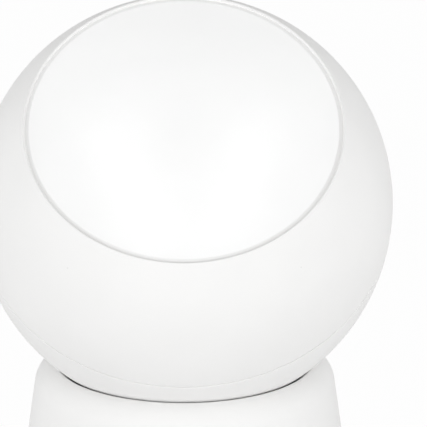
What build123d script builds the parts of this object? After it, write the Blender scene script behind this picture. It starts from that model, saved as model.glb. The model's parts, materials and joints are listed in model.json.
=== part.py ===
from build123d import *
from math import acos, asin, cos, pi, radians, sin, sqrt, tan
import os

# A tabletop smart speaker: a ball-shaped head with a round light panel sits in the socket of a round
# base. The head turns on a motor-driven neck and tilts in a fork inside the ball; the driver, the
# boards and the buttons are in the base. Millimetres, +Z up, origin at the centre of the foot,
# front towards -Y.

# ---- Driving dimensions -------------------------------------------------------------------------
head_radius = 80.0
head_height = 160.0  # centre of the ball above the table
face_elevation = 48.0  # face axis above the horizon
wall = 2.5  # moulded shells
socket_gap = 1.0  # ball to base lip

# Head, measured along the face axis from the centre of the ball
rim_offset = 54.0  # height of the rim round the face panel
rim_round = 2.0
rim_crest, rim_bevel = 84.0, 28.0  # turn of the rounding where the bevel starts, and the bevel's slope
face_radius = 57.0
panel_offset = 53.2  # front of the face panel
panel_thickness = 2.0
ledge_width = 3.5
ledge_thickness = 1.7
seam_half_gap = 0.15
chassis_offset = 22.0
chassis_radius = 70.0
chassis_thickness = 2.5
light_board_offset = 36.0
light_board_radius = 47.0

# Base
lip_radius = 51.04
shoulder_radius = 9.8
shoulder_start = 77.8  # elevation of the surface normal at the lip
wall_flare = 8.3  # wall angle from vertical
shell_bottom = 50.0
plate_top = 5.0
foot_height = 1.5
slot_count = 96
slot_width = 1.7
slot_low, slot_high = 12.0, 43.0

# Neck and drives
gear_module = 0.8
pinion_teeth = 15
pan_gear_teeth = 60
sector_teeth = 75  # of the full circle that the sector is cut from
backlash = 0.16
post_width, post_depth = 26.0, 18.0
turntable_radius = 20.0
deck_low, deck_high = 66.0, 71.0
fork_half_width = 26.0
fork_arm = 4.0
axle_radius = 3.0
motor_shaft_radius = 1.5
running_clearance = 0.05

# Screws by radius of thread, and the room round one in a hole that it passes through
floor_screw, deck_screw, frame_screw, board_screw = 1.3, 1.2, 1.0, 0.9
screw_room = 0.2

# Controls on the rear wall, heights above the table
button_heights = {"mute_button": 83.0, "volume_up_button": 74.0, "volume_down_button": 65.0}
button_radius = 3.4
button_proud = 0.8
button_travel = 0.8

# ---- Derived sizes ------------------------------------------------------------------------------
inner_radius = head_radius - wall
bowl_inner, bowl_outer = head_radius + 2.0, head_radius + 4.0
lip_sphere = head_radius + socket_gap
lip_height = head_height - sqrt(lip_sphere**2 - lip_radius**2)
shoulder_r = lip_radius - shoulder_radius * cos(radians(shoulder_start))
shoulder_z = lip_height - shoulder_radius * sin(radians(shoulder_start))
wall_top_r = shoulder_r + shoulder_radius * cos(radians(wall_flare))
wall_top_z = shoulder_z + shoulder_radius * sin(radians(wall_flare))
pan_gear_pitch = gear_module * pan_gear_teeth / 2
pinion_pitch = gear_module * pinion_teeth / 2
sector_pitch = gear_module * sector_teeth / 2
pan_pinion_y = -(pan_gear_pitch + pinion_pitch)
tilt_pinion_z = head_height - sector_pitch - pinion_pitch
ledge_top = panel_offset - panel_thickness
ledge_low = ledge_top - ledge_thickness
head_centre = Pos(0, 0, head_height)
face_frame = head_centre * Rot(90 - face_elevation, 0, 0)  # +Z is the face axis
across = Rot(0, 90, 0)  # turns +Z to +X


def wall_radius(height):
    """Outer radius of the base's flared wall."""
    return wall_top_r + (wall_top_z - height) * tan(radians(wall_flare))


# ---- Shapes used by several pieces --------------------------------------------------------------
def rod(radius, low, high):
    """Cylinder on the local Z axis."""
    return Pos(0, 0, low) * Cylinder(radius, high - low, align=(Align.CENTER, Align.CENTER, Align.MIN))


def tube(outer, inner, low, high):
    """Ring on the local Z axis."""
    return rod(outer, low, high) - rod(inner, low - 1, high + 1)


def at_angles(angles, radius, shape):
    """Copies of a shape at a radius, each turned to face outwards."""
    return [Rot(0, 0, angle) * Pos(radius, 0, 0) * shape for angle in angles]


def turned(outline):
    """Solid of revolution about Z of a closed outline drawn as radius and height."""
    return revolve(Plane.XZ * make_face(outline), Axis.Z)


def oblong(width, depth, low, high):
    """Upright block with round ends."""
    corner = min(width, depth) / 2 - 0.01
    return Pos(0, 0, low) * extrude(RectangleRounded(width, depth, corner), high - low)


def pan_screw(hole, length, head=None, thickness=None):
    """Screw for a hole of this radius, pointing down -Z, its head's underside at the origin."""
    head = head or hole * 1.8
    thickness = thickness or hole * 1.1
    body = rod(hole - 0.05, -length, 0.01) + rod(head, 0, thickness)
    cross = Box(head * 1.1, head * 0.25, thickness) + Box(head * 0.25, head * 1.1, thickness)
    return body - Pos(0, 0, thickness) * cross


def from_below(shape):
    """The same shape pointing up."""
    return Rot(180, 0, 0) * shape


def gear_outline(teeth, first, last, hub=None):
    """Involute gear outline for tooth numbers first to last; tooth 0 points along +X."""
    pitch = gear_module * teeth / 2
    base = pitch * cos(radians(20))
    tip, root = pitch + 0.9 * gear_module, pitch - 1.15 * gear_module
    half_tooth = (pi * gear_module / 2 - backlash / 2) / (2 * pitch)

    def involute(radius):
        pressure = acos(min(1, base / radius))
        return tan(pressure) - pressure

    def flank(radius):
        return half_tooth + involute(pitch) - involute(max(radius, base))

    start = max(base, root)
    radii = [root] if root < base else []
    radii += [start + (tip - start) * step / 3 for step in range(4)]
    points = []
    for tooth in range(first, last + 1):
        middle = 2 * pi * tooth / teeth
        side = [(radius, middle - flank(radius)) for radius in radii]
        side += [(radius, middle + flank(radius)) for radius in reversed(radii)]
        points += [(radius * cos(angle), radius * sin(angle)) for radius, angle in side]
    if hub is not None:
        for tooth in (last + 0.5, first - 0.5):
            angle = 2 * pi * tooth / teeth
            points.append((root * cos(angle), root * sin(angle)))
            points.append((hub * cos(angle), hub * sin(angle)))
        points[-2:] = reversed(points[-2:])
    return make_face(Polyline(*points, close=True))


def cable(radius, bend, points):
    """Round cable along straight runs joined by arcs."""
    path = FilletPolyline(*points, radius=bend)
    return sweep(Plane(origin=path @ 0, z_dir=path % 0) * Circle(radius), path)


motor_ear = 1.0
ear_hole_inset = 2.6


def drive_motor(radius, low, high):
    """Motor can on the local Z axis with a bore for its shaft and two fixing ears at the top."""
    can = rod(radius, low, high)
    ears = Pos(0, 0, high - motor_ear / 2) * Box(2 * radius + 9, 6, motor_ear)
    hole = rod(board_screw + screw_room, high - 2 * motor_ear, high + 1)
    holes = [Pos(side * (radius + ear_hole_inset), 0, 0) * hole for side in (-1, 1)]
    return can + ears - holes - rod(motor_shaft_radius + running_clearance, high - 6, high + 1)


# ---- Base: foot, floor and ballast --------------------------------------------------------------
leg_angles = (65, 115, 225, 315)
leg_circle, leg_radius = 55.5, 4.0
deck_boss_angles = (0, 180, 270)
deck_boss_circle = 54.5
bowl_column_angles = (30, 150, 225)
bowl_column_circle = 41.0


baffle_leg_angles = (45, 135, 225, 315)
baffle_leg_circle = 42.5
foot_outer, foot_inner = 67.0, 50.0
plate_edge = 1.2  # rounding of its lower edge
floor_screw_head, floor_screw_seat = 2.5, 3.2
floor_pilot_top = plate_top + 12
ballast_radius, ballast_top = 38.5, plate_top + 3
deflector_radius, deflector_rim, deflector_rise = 33.0, 1.2, 8.0


def foot_ring():
    return tube(foot_outer, foot_inner, 0, foot_height)


def base_plate():
    """Floor of the base, with its screw heads sunk from below."""
    rim = wall_radius(foot_height + plate_edge)
    cut = plate_edge * (1 - sqrt(0.5))
    outline = Line((0, foot_height), (rim - plate_edge, foot_height))
    outline += ThreePointArc(
        (rim - plate_edge, foot_height), (rim - cut, foot_height + cut), (rim, foot_height + plate_edge)
    )
    outline += Polyline(outline @ 1, (wall_radius(plate_top), plate_top), (0, plate_top), (0, foot_height))
    hole = rod(floor_screw + screw_room, 0, plate_top + 1) + rod(floor_screw_head + 0.3, 0, floor_screw_seat)
    plate = turned(outline) - at_angles(leg_angles, leg_circle, hole)
    return plate - at_angles(baffle_leg_angles, baffle_leg_circle, hole)


def floor_screws():
    """Screws up through the floor into the shell's legs and the baffle's legs."""
    screw = from_below(pan_screw(floor_screw, 11, floor_screw_head, 1.5))
    screw = Pos(0, 0, floor_screw_seat) * screw
    return at_angles(leg_angles, leg_circle, screw) + at_angles(baffle_leg_angles, baffle_leg_circle, screw)


def ballast_disc():
    return rod(ballast_radius, plate_top, ballast_top)


def sound_deflector():
    """Low dished cone that turns the driver's sound outwards."""
    rim_top, peak = ballast_top + deflector_rim, ballast_top + deflector_rise
    outline = Polyline((0, ballast_top), (deflector_radius, ballast_top), (deflector_radius, rim_top))
    outline += ThreePointArc(outline @ 1, (deflector_radius / 2, rim_top + 1.4), (3, peak))
    outline += Polyline(outline @ 1, (0, peak), (0, ballast_top))
    return turned(outline)


# ---- Base: outer band ---------------------------------------------------------------------------
grille_wall, grille_gap = 1.6, 0.3
cloth_thickness = 0.5


def wall_band(outer_inset, thickness, low, high):
    """Band that follows the flared wall, set in from its outside."""
    low_r, high_r = wall_radius(low) - outer_inset, wall_radius(high) - outer_inset
    corners = [(low_r, low), (high_r, high), (high_r - thickness, high), (low_r - thickness, low)]
    return turned(Polyline(*corners, close=True))


def speaker_grille():
    """Slotted band between the floor and the shell."""
    band = wall_band(0, grille_wall, plate_top + grille_gap, shell_bottom - grille_gap)
    slot = across * extrude(SlotOverall(slot_high - slot_low, slot_width), wall_radius(0))
    slot = Pos(foot_inner, 0, (slot_low + slot_high) / 2) * slot
    return band - [Rot(0, 0, 360 * i / slot_count) * slot for i in range(slot_count)]


def acoustic_cloth():
    return wall_band(grille_wall + 0.1, cloth_thickness, plate_top + 2, shell_bottom - 2)


# ---- Base: shell and socket ---------------------------------------------------------------------
boss_top = 84.0
board_post_radius = 1.9
bowl_rim, bowl_hole = 36.4, 17.5  # polar angle of the rim, radius of the hole round the neck
bowl_column_radius, bowl_column_top = 2.8, 92.0


def base_shell():
    """Shoulder and wall in one moulding, with legs to the floor and bosses for the deck."""
    inner_arc = shoulder_radius - wall
    lean = radians(7.2)  # the lip's inner face follows the ball
    inner_top = (shoulder_r - inner_arc * sin(lean), shoulder_z + inner_arc * cos(lean))
    inner_side = (
        shoulder_r + inner_arc * cos(radians(wall_flare)),
        shoulder_z + inner_arc * sin(radians(wall_flare)),
    )
    mid = radians(50)
    outer_mid = (shoulder_r + shoulder_radius * cos(mid), shoulder_z + shoulder_radius * sin(mid))
    inner_mid = (shoulder_r + inner_arc * cos(mid), shoulder_z + inner_arc * sin(mid))
    thickness = wall / cos(radians(wall_flare))
    lip = (lip_radius, lip_height)
    outline = Line((wall_radius(shell_bottom), shell_bottom), (wall_top_r, wall_top_z))
    outline += ThreePointArc((wall_top_r, wall_top_z), outer_mid, lip)
    outline += Line(lip, inner_top)
    outline += ThreePointArc(inner_top, inner_mid, inner_side)
    outline += Line(inner_side, (wall_radius(shell_bottom) - thickness, shell_bottom))
    outline += Line(outline @ 1, (wall_radius(shell_bottom), shell_bottom))
    shell = turned(outline)
    inside = wall_band(0.5, 30, plate_top, wall_top_z)
    legs = at_angles(leg_angles, leg_circle, rod(leg_radius, plate_top, boss_top))
    bosses = at_angles(deck_boss_angles, deck_boss_circle, rod(leg_radius, deck_high, boss_top))
    shell += [column & inside for column in legs + bosses]
    shell -= at_angles(leg_angles, leg_circle, rod(floor_screw, plate_top - 1, floor_pilot_top))
    shell -= at_angles(deck_boss_angles, deck_boss_circle, rod(deck_screw, deck_high - 1, deck_high + 9))
    shell += [place * rod(board_post_radius, -switch_board_depth, -1) for place in board_posts()]
    shell -= [place * rod(board_screw, -switch_board_depth - 1, -4) for place in board_posts()]
    button_hole = rod(button_radius + button_gap, -8, 4)
    shell -= [rear_wall(height) * button_hole for height in button_heights.values()]
    opening = SlotOverall(inlet_width + 2 * inlet_gap, inlet_thickness + 2 * inlet_gap)
    return shell - Pos(0, inlet_front, inlet_height) * Rot(90, 0, 0) * extrude(opening, 6, both=True)


def socket_bowl():
    """Grey bowl under the ball, seen through the gap round it; three columns stand on the deck."""
    rim = radians(bowl_rim)
    inner_edge, outer_edge = asin(bowl_hole / bowl_inner), asin(bowl_hole / bowl_outer)
    middle = (rim + inner_edge) / 2

    def under_ball(radius, angle):
        return (radius * sin(angle), head_height - radius * cos(angle))

    outline = ThreePointArc([under_ball(bowl_inner, angle) for angle in (inner_edge, middle, rim)])
    outline += Line(outline @ 1, under_ball(bowl_outer, rim))
    outline += ThreePointArc([under_ball(bowl_outer, angle) for angle in (rim, middle, outer_edge)])
    outline += Line(under_ball(bowl_outer, outer_edge), under_ball(bowl_inner, inner_edge))
    column = rod(bowl_column_radius, deck_high, bowl_column_top)
    columns = at_angles(bowl_column_angles, bowl_column_circle, column)
    bowl = turned(outline) + [column - head_centre * Sphere(bowl_inner + 1) for column in columns]
    pilot = rod(board_screw, deck_high - 1, deck_high + 7)
    return bowl - at_angles(bowl_column_angles, bowl_column_circle, pilot)


# ---- Base: rear controls ------------------------------------------------------------------------
button_gap = 0.3
button_flange, button_stem = 0.9, 1.2
switch_board_depth = 9.0
board_post_x, board_post_heights = 6.6, (78.5, 69.5)
board_thickness = 1.6
inlet_width, inlet_thickness, inlet_length = 8.94, 3.26, 7.3
inlet_gap = 0.48
inlet_wall = 0.3
inlet_front = 62.5


def rear_wall(height):
    """Frame on the outside of the rear wall, +Z out of the wall."""
    return Pos(0, wall_radius(height), height) * Rot(wall_flare - 90, 0, 0)


def board_posts():
    """Frames of the four posts that hold the switch board."""
    return [rear_wall(z) * Pos(x, 0, 0) for z in board_post_heights for x in (-board_post_x, board_post_x)]


def wall_button(height):
    """Round cap with a flange behind the wall and a stem that meets its switch."""
    cap = rod(button_radius, -3.2, button_proud)
    cap = chamfer(cap.edges().group_by(Axis.Z)[-1], 0.5)
    flange = rod(button_radius + button_flange, -4.0, -3.0)
    return rear_wall(height) * (cap + flange + rod(button_stem, -5.0, -3.9))


def switch_board():
    """Small board on four posts with a push switch behind each button."""
    middle = sum(board_post_heights) / 2
    back = -switch_board_depth - board_thickness
    board = rear_wall(middle) * Pos(0, 0, back + board_thickness / 2) * Box(17, 27, board_thickness)
    switch = Pos(0, 0, -switch_board_depth + 1.25) * Box(6, 6, 2.51) + rod(1.6, -8, -6.1)
    board += [rear_wall(height) * switch for height in button_heights.values()]
    hole = rod(board_screw + 0.1, back - 1, 1 - switch_board_depth)
    return board - [place * hole for place in board_posts()]


# ---- Base: driver and its enclosure -------------------------------------------------------------
baffle_low, baffle_high = 20.0, 23.0
baffle_radius, baffle_leg_radius = 47.0, 3.2
cup_top = 51.0
driver_radius, driver_opening = 33.0, 29.0
driver_screw_angles, driver_screw_circle = (0, 90, 180, 270), 31.0
flange_low = baffle_low - 1.5
sheet_metal = 1.2
basket_bore, basket_seat, basket_top = 9.9, 18.5, 35.0
roll_middle, roll_radius, roll_wall = 25.4, 2.1, 0.6
cone_low, cone_high, cone_rim, cone_throat, cone_wall = 20.4, 29.8, 23.0, 9.6, 0.8
cap_ball, cap_rim, cap_centre, cap_wall = 12.0, 29.5, 37.0, 0.6
coil_outer, coil_inner, coil_low, coil_high = 9.2, 8.6, 30.4, 40.0
spider_outer, spider_low, spider_high = 16.9, 33.0, 33.5
spider_ridge, ridge_width, ridge_rise = 13.3, 1.0, 0.2
magnet_radius, magnet_bore, magnet_low, magnet_high = 21.0, 11.0, 37.5, 43.5
iron_radius, pole_radius, iron_thickness = 20.0, 8.2, 2.5


def speaker_baffle():
    """Plate that carries the driver, face down, on four legs."""
    leg = rod(baffle_leg_radius, plate_top, baffle_low + 0.5)
    plate = tube(baffle_radius, driver_opening, baffle_low, baffle_high)
    plate += at_angles(baffle_leg_angles, baffle_leg_circle, leg)
    leg_pilot = rod(floor_screw, plate_top - 1, floor_pilot_top)
    driver_pilot = rod(board_screw, baffle_low - 1, baffle_high - 0.5)
    plate -= at_angles(baffle_leg_angles, baffle_leg_circle, leg_pilot)
    return plate - at_angles(driver_screw_angles, driver_screw_circle, driver_pilot)


def speaker_enclosure():
    """Sealed cup over the back of the driver, with four posts for the main board."""
    cup = rod(baffle_radius, baffle_high, cup_top)
    cup -= rod(baffle_radius - wall, baffle_high - 1, cup_top - wall)
    cup += at_angles(board_screw_angles, board_screw_circle, rod(3, cup_top - 0.5, board_low))
    return cup - at_angles(board_screw_angles, board_screw_circle, rod(board_screw, cup_top, board_high))


def driver_basket():
    """Flange, open cone-shaped frame and the seat of the magnet, in one pressing."""
    mouth = driver_opening - 0.2
    throat = basket_top - sheet_metal
    corners = [
        (driver_radius, flange_low),
        (driver_radius, baffle_low),
        (mouth, baffle_low),
        (basket_seat, throat),
        (basket_seat, basket_top),
        (basket_bore, basket_top),
        (basket_bore, throat),
        (basket_seat - sheet_metal, throat),
        (mouth - sheet_metal, baffle_low),
        (mouth - sheet_metal, flange_low),
    ]
    window = Pos(0, 0, (baffle_low + basket_top) / 2) * Box(16, 14, 8)
    hole = rod(board_screw + 0.1, flange_low - 1, baffle_high)
    basket = turned(Polyline(*corners, close=True)) - at_angles((45, 135, 225, 315), 24, window)
    return basket - at_angles(driver_screw_angles, driver_screw_circle, hole)


def driver_surround():
    """Half-roll rubber ring between the cone and the basket."""
    roll = Torus(roll_middle, roll_radius) - Torus(roll_middle, roll_radius - roll_wall)
    return Pos(0, 0, baffle_low) * roll & rod(driver_radius, baffle_low - 10, baffle_low)


def driver_cone():
    corners = [
        (cone_rim, cone_low),
        (cone_throat, cone_high),
        (cone_throat, cone_high + cone_wall),
        (cone_rim, cone_low + cone_wall),
    ]
    return turned(Polyline(*corners, close=True))


def dust_cap():
    """Shallow dome over the throat of the cone."""
    dome = Pos(0, 0, cap_centre) * (Sphere(cap_ball) - Sphere(cap_ball - cap_wall))
    return dome & rod(cap_ball, cap_rim - 10, cap_rim)


def voice_coil():
    return tube(coil_outer, coil_inner, coil_low, coil_high)


def driver_spider():
    """Corrugated cloth disc that centres the voice coil."""
    outer, inner = spider_ridge + ridge_width / 2, spider_ridge - ridge_width / 2
    disc = tube(spider_outer, coil_outer + 0.4, spider_low, spider_high)
    groove = tube(outer, inner, spider_high - ridge_rise, spider_high + 1)
    return disc - groove + tube(outer, inner, spider_low - ridge_rise, spider_high - ridge_rise)


def driver_magnet():
    return tube(magnet_radius, magnet_bore, magnet_low, magnet_high)


def magnet_iron():
    """Front ring and the back plate with its pole."""
    front = tube(iron_radius, coil_outer + 0.4, basket_top, magnet_low)
    back = rod(iron_radius, magnet_high, magnet_high + iron_thickness)
    return [front, back + rod(pole_radius, basket_top, magnet_high + 0.1)]


# ---- Base: main board ---------------------------------------------------------------------------
board_low = 53.2
board_high = board_low + board_thickness
board_radius = 50.0
board_screw_angles = (30, 150, 210, 330)
board_screw_circle = 42.0
inlet_height = board_high + inlet_thickness / 2
cable_radius, cable_joint = 1.5, 68.0


def main_board():
    board = rod(board_radius, board_low, board_high)
    board += Pos(0, board_radius, (board_low + board_high) / 2) * Box(16, 20, board_thickness)
    hole = rod(board_screw + screw_room, board_low - 1, board_high + 1)
    return board - at_angles(board_screw_angles, board_screw_circle, hole)


def small_screws():
    """Like screws that hold the main board, the driver and the switch board."""
    screw = pan_screw(board_screw, 3.5, 1.7, 1.0)
    main = at_angles(board_screw_angles, board_screw_circle, Pos(0, 0, board_high) * screw)
    driver = at_angles(
        driver_screw_angles, driver_screw_circle, Pos(0, 0, flange_low) * from_below(screw)
    )
    behind = Pos(0, 0, -switch_board_depth - board_thickness) * from_below(screw)
    return main + driver + [place * behind for place in board_posts()]


def board_parts():
    """Processor, amplifier, memory, coils and capacitors."""
    top = board_high

    def chip(x, y, width, depth, height):
        return Pos(x, y, top + height / 2) * Box(width, depth, height)

    chips = [chip(-20, 12, 14, 14, 1.4), chip(20, 12, 9, 9, 1.0), chip(-20, -10, 10, 8, 1.0)]
    coils = [chip(18, 28, 7, 7, 1.9), chip(30, -6, 7, 7, 1.9)]
    capacitors = [Pos(x, y, 0) * rod(2.0, top, top + 1.9) for x, y in ((-8, 34), (8, 24), (-12, 26))]
    socket = Pos(0, 0, top + 2) * Box(8, 6, 4) - rod(1.6, top + 1, top + 5)
    return chips + coils + capacitors + [socket]


def base_cable():
    """Lead from the board up the turning axis; it meets the neck's lead inside the turntable."""
    return rod(cable_radius, board_high + 1.1, cable_joint - 0.2)


def power_inlet():
    """Oblong metal receptacle with its contact tongue."""
    inside = SlotOverall(inlet_width - 2 * inlet_wall, inlet_thickness - 2 * inlet_wall)
    mouth = extrude(SlotOverall(inlet_width, inlet_thickness), inlet_length)
    mouth -= Pos(0, 0, 1) * extrude(inside, inlet_length)
    mouth += Pos(0, 0, 3.2) * Box(6.7, 0.7, 5.0)
    return Pos(0, inlet_front - inlet_length, inlet_height) * Rot(-90, 0, 0) * mouth


# ---- Neck: bearing, turntable and pan drive -----------------------------------------------------
deck_radius, deck_hub, deck_seat = 46.0, 20.0, deck_low + 2
deck_lug_width = 7.2
bearing_outer, bearing_middle, bearing_bore = 18.5, 17.0, 15.0
race_low, ball_radius, ball_count = deck_low + 1, 1.0, 24
race_step = 0.4  # each race ends this far from the middle of the balls
turntable_low, turntable_high = 65.0, 75.0
turntable_step = deck_high + 0.5
cable_way = 5.0
clip_groove, clip_outer, clip_low, clip_high = 14.3, 16.9, 66.0, 66.9
pan_gear_width, pinion_width = 3.2, 3.6
neck_screw_angles, neck_screw_circle = (60, 120, 240, 300), 14.3


def bearing_deck():
    """Deck that carries the neck bearing and the pan motor."""
    deck = rod(deck_radius, deck_seat, deck_high) + rod(deck_hub, deck_low, deck_high)
    lug_length = deck_boss_circle - deck_radius + 2
    lug = Pos(deck_boss_circle - lug_length / 2, 0, (deck_seat + deck_high) / 2)
    lug = lug * Box(lug_length, deck_lug_width, deck_high - deck_seat)
    lug += Pos(deck_boss_circle, 0, 0) * rod(deck_lug_width / 2, deck_seat, deck_high)
    deck += [Rot(0, 0, angle) * lug for angle in deck_boss_angles]
    deck -= rod(bearing_outer, race_low, deck_high + 1) + rod(bearing_outer - 0.9, deck_low - 1, deck_high)
    boss_hole = rod(deck_screw + screw_room, deck_low, deck_high + 1)
    column_hole = rod(board_screw + screw_room, deck_low, deck_high + 1)
    deck -= at_angles(deck_boss_angles, deck_boss_circle, boss_hole)
    deck -= at_angles(bowl_column_angles, bowl_column_circle, column_hole)
    deck -= Pos(0, pan_pinion_y, 0) * rod(motor_shaft_radius + 1, deck_low - 1, deck_high + 1)
    ear_x = pan_motor_radius + ear_hole_inset
    pilot = rod(board_screw, deck_low, deck_high - 1)
    return deck - [Pos(x, pan_pinion_y, 0) * pilot for x in (-ear_x, ear_x)]


def deck_screws():
    """Screws up through the deck into the shell's bosses and the bowl's columns."""
    boss_screw = Pos(0, 0, deck_seat) * from_below(pan_screw(deck_screw, 10))
    column_screw = Pos(0, 0, deck_seat) * from_below(pan_screw(board_screw, 9))
    screws = at_angles(deck_boss_angles, deck_boss_circle, boss_screw)
    return screws + at_angles(bowl_column_angles, bowl_column_circle, column_screw)


def race(outer, inner):
    """Ring of the neck bearing with its half of the ball track."""
    track = Torus(bearing_middle, ball_radius + running_clearance)
    return tube(outer, inner, race_low, deck_high) - Pos(0, 0, (race_low + deck_high) / 2) * track


def bearing_outer_race():
    """Outer race with its balls."""
    ball = Pos(0, 0, (race_low + deck_high) / 2) * Sphere(ball_radius)
    angles = [360 * i / ball_count for i in range(ball_count)]
    return [race(bearing_outer, bearing_middle + race_step)] + at_angles(angles, bearing_middle, ball)


def bearing_inner_race():
    return race(bearing_middle - race_step, bearing_bore + running_clearance)


def turntable():
    """Disc that turns in the bearing and carries the gear and the neck."""
    body = rod(bearing_bore, turntable_low, turntable_step)
    body += rod(bearing_bore + 1.2, deck_high, turntable_step)
    body += rod(turntable_radius, turntable_step - 0.1, turntable_high)
    body -= rod(cable_way, turntable_low - 1, turntable_high + 1)
    body -= tube(turntable_radius, clip_groove, clip_low, clip_high)
    pilot = rod(frame_screw, turntable_step, turntable_high + 1)
    return body - at_angles(neck_screw_angles, neck_screw_circle, pilot)


def bearing_clip():
    """Open spring ring in the groove under the inner race."""
    ring = tube(clip_outer, clip_groove + 0.05, clip_low + 0.05, clip_high - 0.05)
    return ring - Pos(bearing_bore, 0, clip_low + 0.5) * Box(8, 5, 3)


def pan_gear():
    """Ring gear on the rim of the turntable."""
    teeth = Rot(0, 0, -90) * gear_outline(pan_gear_teeth, 0, pan_gear_teeth - 1)
    bore = rod(turntable_radius + running_clearance, deck_high, turntable_high)
    return Pos(0, 0, turntable_step + 0.2) * extrude(teeth, pan_gear_width) - bore


def pinion(gap_angle):
    """Small gear whose tooth gap faces gap_angle."""
    half_pitch = 180 / pinion_teeth
    outline = Rot(0, 0, gap_angle + half_pitch) * gear_outline(pinion_teeth, 0, pinion_teeth - 1)
    return extrude(outline, pinion_width) - rod(motor_shaft_radius, -1, pinion_width + 1)


pan_motor_radius, pan_motor_low = 9.5, 57.5


def pan_pinion():
    return Pos(0, pan_pinion_y, turntable_step) * pinion(90)


def pan_motor():
    return Pos(0, pan_pinion_y, 0) * drive_motor(pan_motor_radius, pan_motor_low, deck_seat)


def pan_motor_shaft():
    top = turntable_step + pinion_width + 0.3
    return Pos(0, pan_pinion_y, 0) * rod(motor_shaft_radius, deck_low - 3, top)


# ---- Neck: post, fork and tilt drive ------------------------------------------------------------
post_top, fork_floor = 104.0, 109.0
post_wall, post_flange, post_flange_top = 3.5, 19.5, turntable_high + 2.5
arm_depth = 16.0
fork_screw_x = (-10.2, 10.2)
bush_outer, bush_flange, bush_flange_width = 4.2, 5.6, 0.6
tilt_motor_radius = 9.0
cable_side = -4.0


def neck_post():
    """Hollow oblong post on a round flange."""
    post = rod(post_flange, turntable_high, post_flange_top)
    post += oblong(post_width, post_depth, turntable_high, post_top)
    post -= oblong(post_width - 2 * post_wall, post_depth - 2 * post_wall, turntable_high - 1, post_top + 1)
    post += [Pos(x, 0, 0) * rod(2.7, post_top - 8, post_top) for x in fork_screw_x]
    post -= [Pos(x, 0, 0) * rod(frame_screw, post_top - 7, post_top + 1) for x in fork_screw_x]
    hole = rod(frame_screw + screw_room, turntable_high - 1, post_flange_top + 1)
    return post - at_angles(neck_screw_angles, neck_screw_circle, hole)


def neck_screws():
    """Like screws through the foot of the post and through the floor of the fork."""
    foot = Pos(0, 0, post_flange_top) * pan_screw(frame_screw, 6, 1.9, 1.2)
    top = Pos(0, 0, fork_floor) * pan_screw(frame_screw, 9, 1.9, 1.2)
    return at_angles(neck_screw_angles, neck_screw_circle, foot) + [Pos(x, 0, 0) * top for x in fork_screw_x]


def tilt_fork():
    """U-shaped fork; its arms carry the bushes of the tilt axle."""
    floor_height, arm_height = fork_floor - post_top, head_height - post_top
    fork = Pos(0, 0, post_top + floor_height / 2) * Box(2 * fork_half_width, post_depth, floor_height)
    arm = Pos(0, 0, post_top + arm_height / 2) * Box(fork_arm, arm_depth, arm_height)
    arm += Pos(0, 0, head_height) * across * Cylinder(arm_depth / 2, fork_arm)
    fork += [Pos(side * (fork_half_width - fork_arm / 2), 0, 0) * arm for side in (-1, 1)]
    fork -= Pos(0, 0, head_height) * across * Cylinder(bush_outer + 0.02, 80)
    fork -= Pos(fork_half_width, 0, tilt_pinion_z) * across * Cylinder(motor_shaft_radius + 1, 20)
    fork -= Pos(cable_side, 0, 0) * rod(cable_radius + 1.1, post_top - 1, fork_floor + 1)
    hole = rod(frame_screw + screw_room, post_top - 1, fork_floor + 1)
    return fork - [Pos(x, 0, 0) * hole for x in fork_screw_x]


def tilt_bushes():
    """Flanged bushes, one in each arm."""
    bush = tube(bush_outer, axle_radius + running_clearance, -fork_arm, 0)
    bush += tube(bush_flange, axle_radius + running_clearance, 0, bush_flange_width)
    right = Pos(fork_half_width, 0, head_height) * across * bush
    return [right, Rot(0, 0, 180) * right]


def tilt_motor():
    return Pos(0, 0, tilt_pinion_z) * across * drive_motor(tilt_motor_radius, 3, fork_half_width - fork_arm)


def tilt_motor_shaft():
    inner, outer = fork_half_width - fork_arm - 5, ear_outer + sector_thickness + 1
    return Pos(0, 0, tilt_pinion_z) * across * rod(motor_shaft_radius, inner, outer)


def tilt_pinion():
    return Pos(ear_outer + 0.2, 0, tilt_pinion_z) * across * pinion(180)


def neck_cable():
    """Lead up the hollow post, past the tilt motor and out through the left axle."""
    points = [
        (0, 0, cable_joint + 0.2),
        (0, 0, 88),
        (cable_side, 0, 98),
        (cable_side, 0, head_height),
        (-axle_end, 0, head_height),
    ]
    return cable(cable_radius, [12, 12, 9], points)


# ---- Head: chassis and tilt axle ----------------------------------------------------------------
# These pieces are drawn about the centre of the ball with +Z along the face axis.
ear_inner, ear_outer = 27.0, 30.0
sector_thickness = 3.2
axle_end = 34.4
axle_bore, axle_head, axle_head_thickness = 1.8, 4.6, 0.9
chassis_opening = 16.0
chassis_boss_angles, chassis_boss_circle, chassis_boss_radius = (20, 160, 200, 340), 66.0, 3.5
light_screw_angles, light_screw_circle = (45, 135, 225, 315), 40.0
head_cable_x = -46.0


def head_chassis():
    """Round plate across the ball with two ears on the tilt axis and posts for the light board."""
    low, high = chassis_offset, chassis_offset + chassis_thickness
    chassis = tube(chassis_radius, chassis_opening, low, high)
    ear = Pos(0, 0, low / 2) * Box(ear_outer - ear_inner, arm_depth, low + 1)
    for side, end in ((-1, ear_outer + sector_thickness), (1, ear_outer)):
        hub = Pos(side * (ear_inner + end) / 2, 0, 0) * across * Cylinder(arm_depth / 2, end - ear_inner)
        chassis += Pos(side * (ear_inner + ear_outer) / 2, 0, 0) * ear + hub
    pilot = rod(frame_screw, high + 2, light_board_offset + 1)
    chassis += at_angles(light_screw_angles, light_screw_circle, rod(3, low + 1, light_board_offset))
    chassis -= at_angles(light_screw_angles, light_screw_circle, pilot)
    boss_hole = rod(frame_screw + screw_room, low - 1, high + 1)
    chassis -= at_angles(chassis_boss_angles, chassis_boss_circle, boss_hole)
    chassis -= Pos(head_cable_x, 0, 0) * rod(2 * cable_radius, low - 1, high + 1)
    return chassis - across * Cylinder(axle_radius + 0.02, 80)


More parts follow.
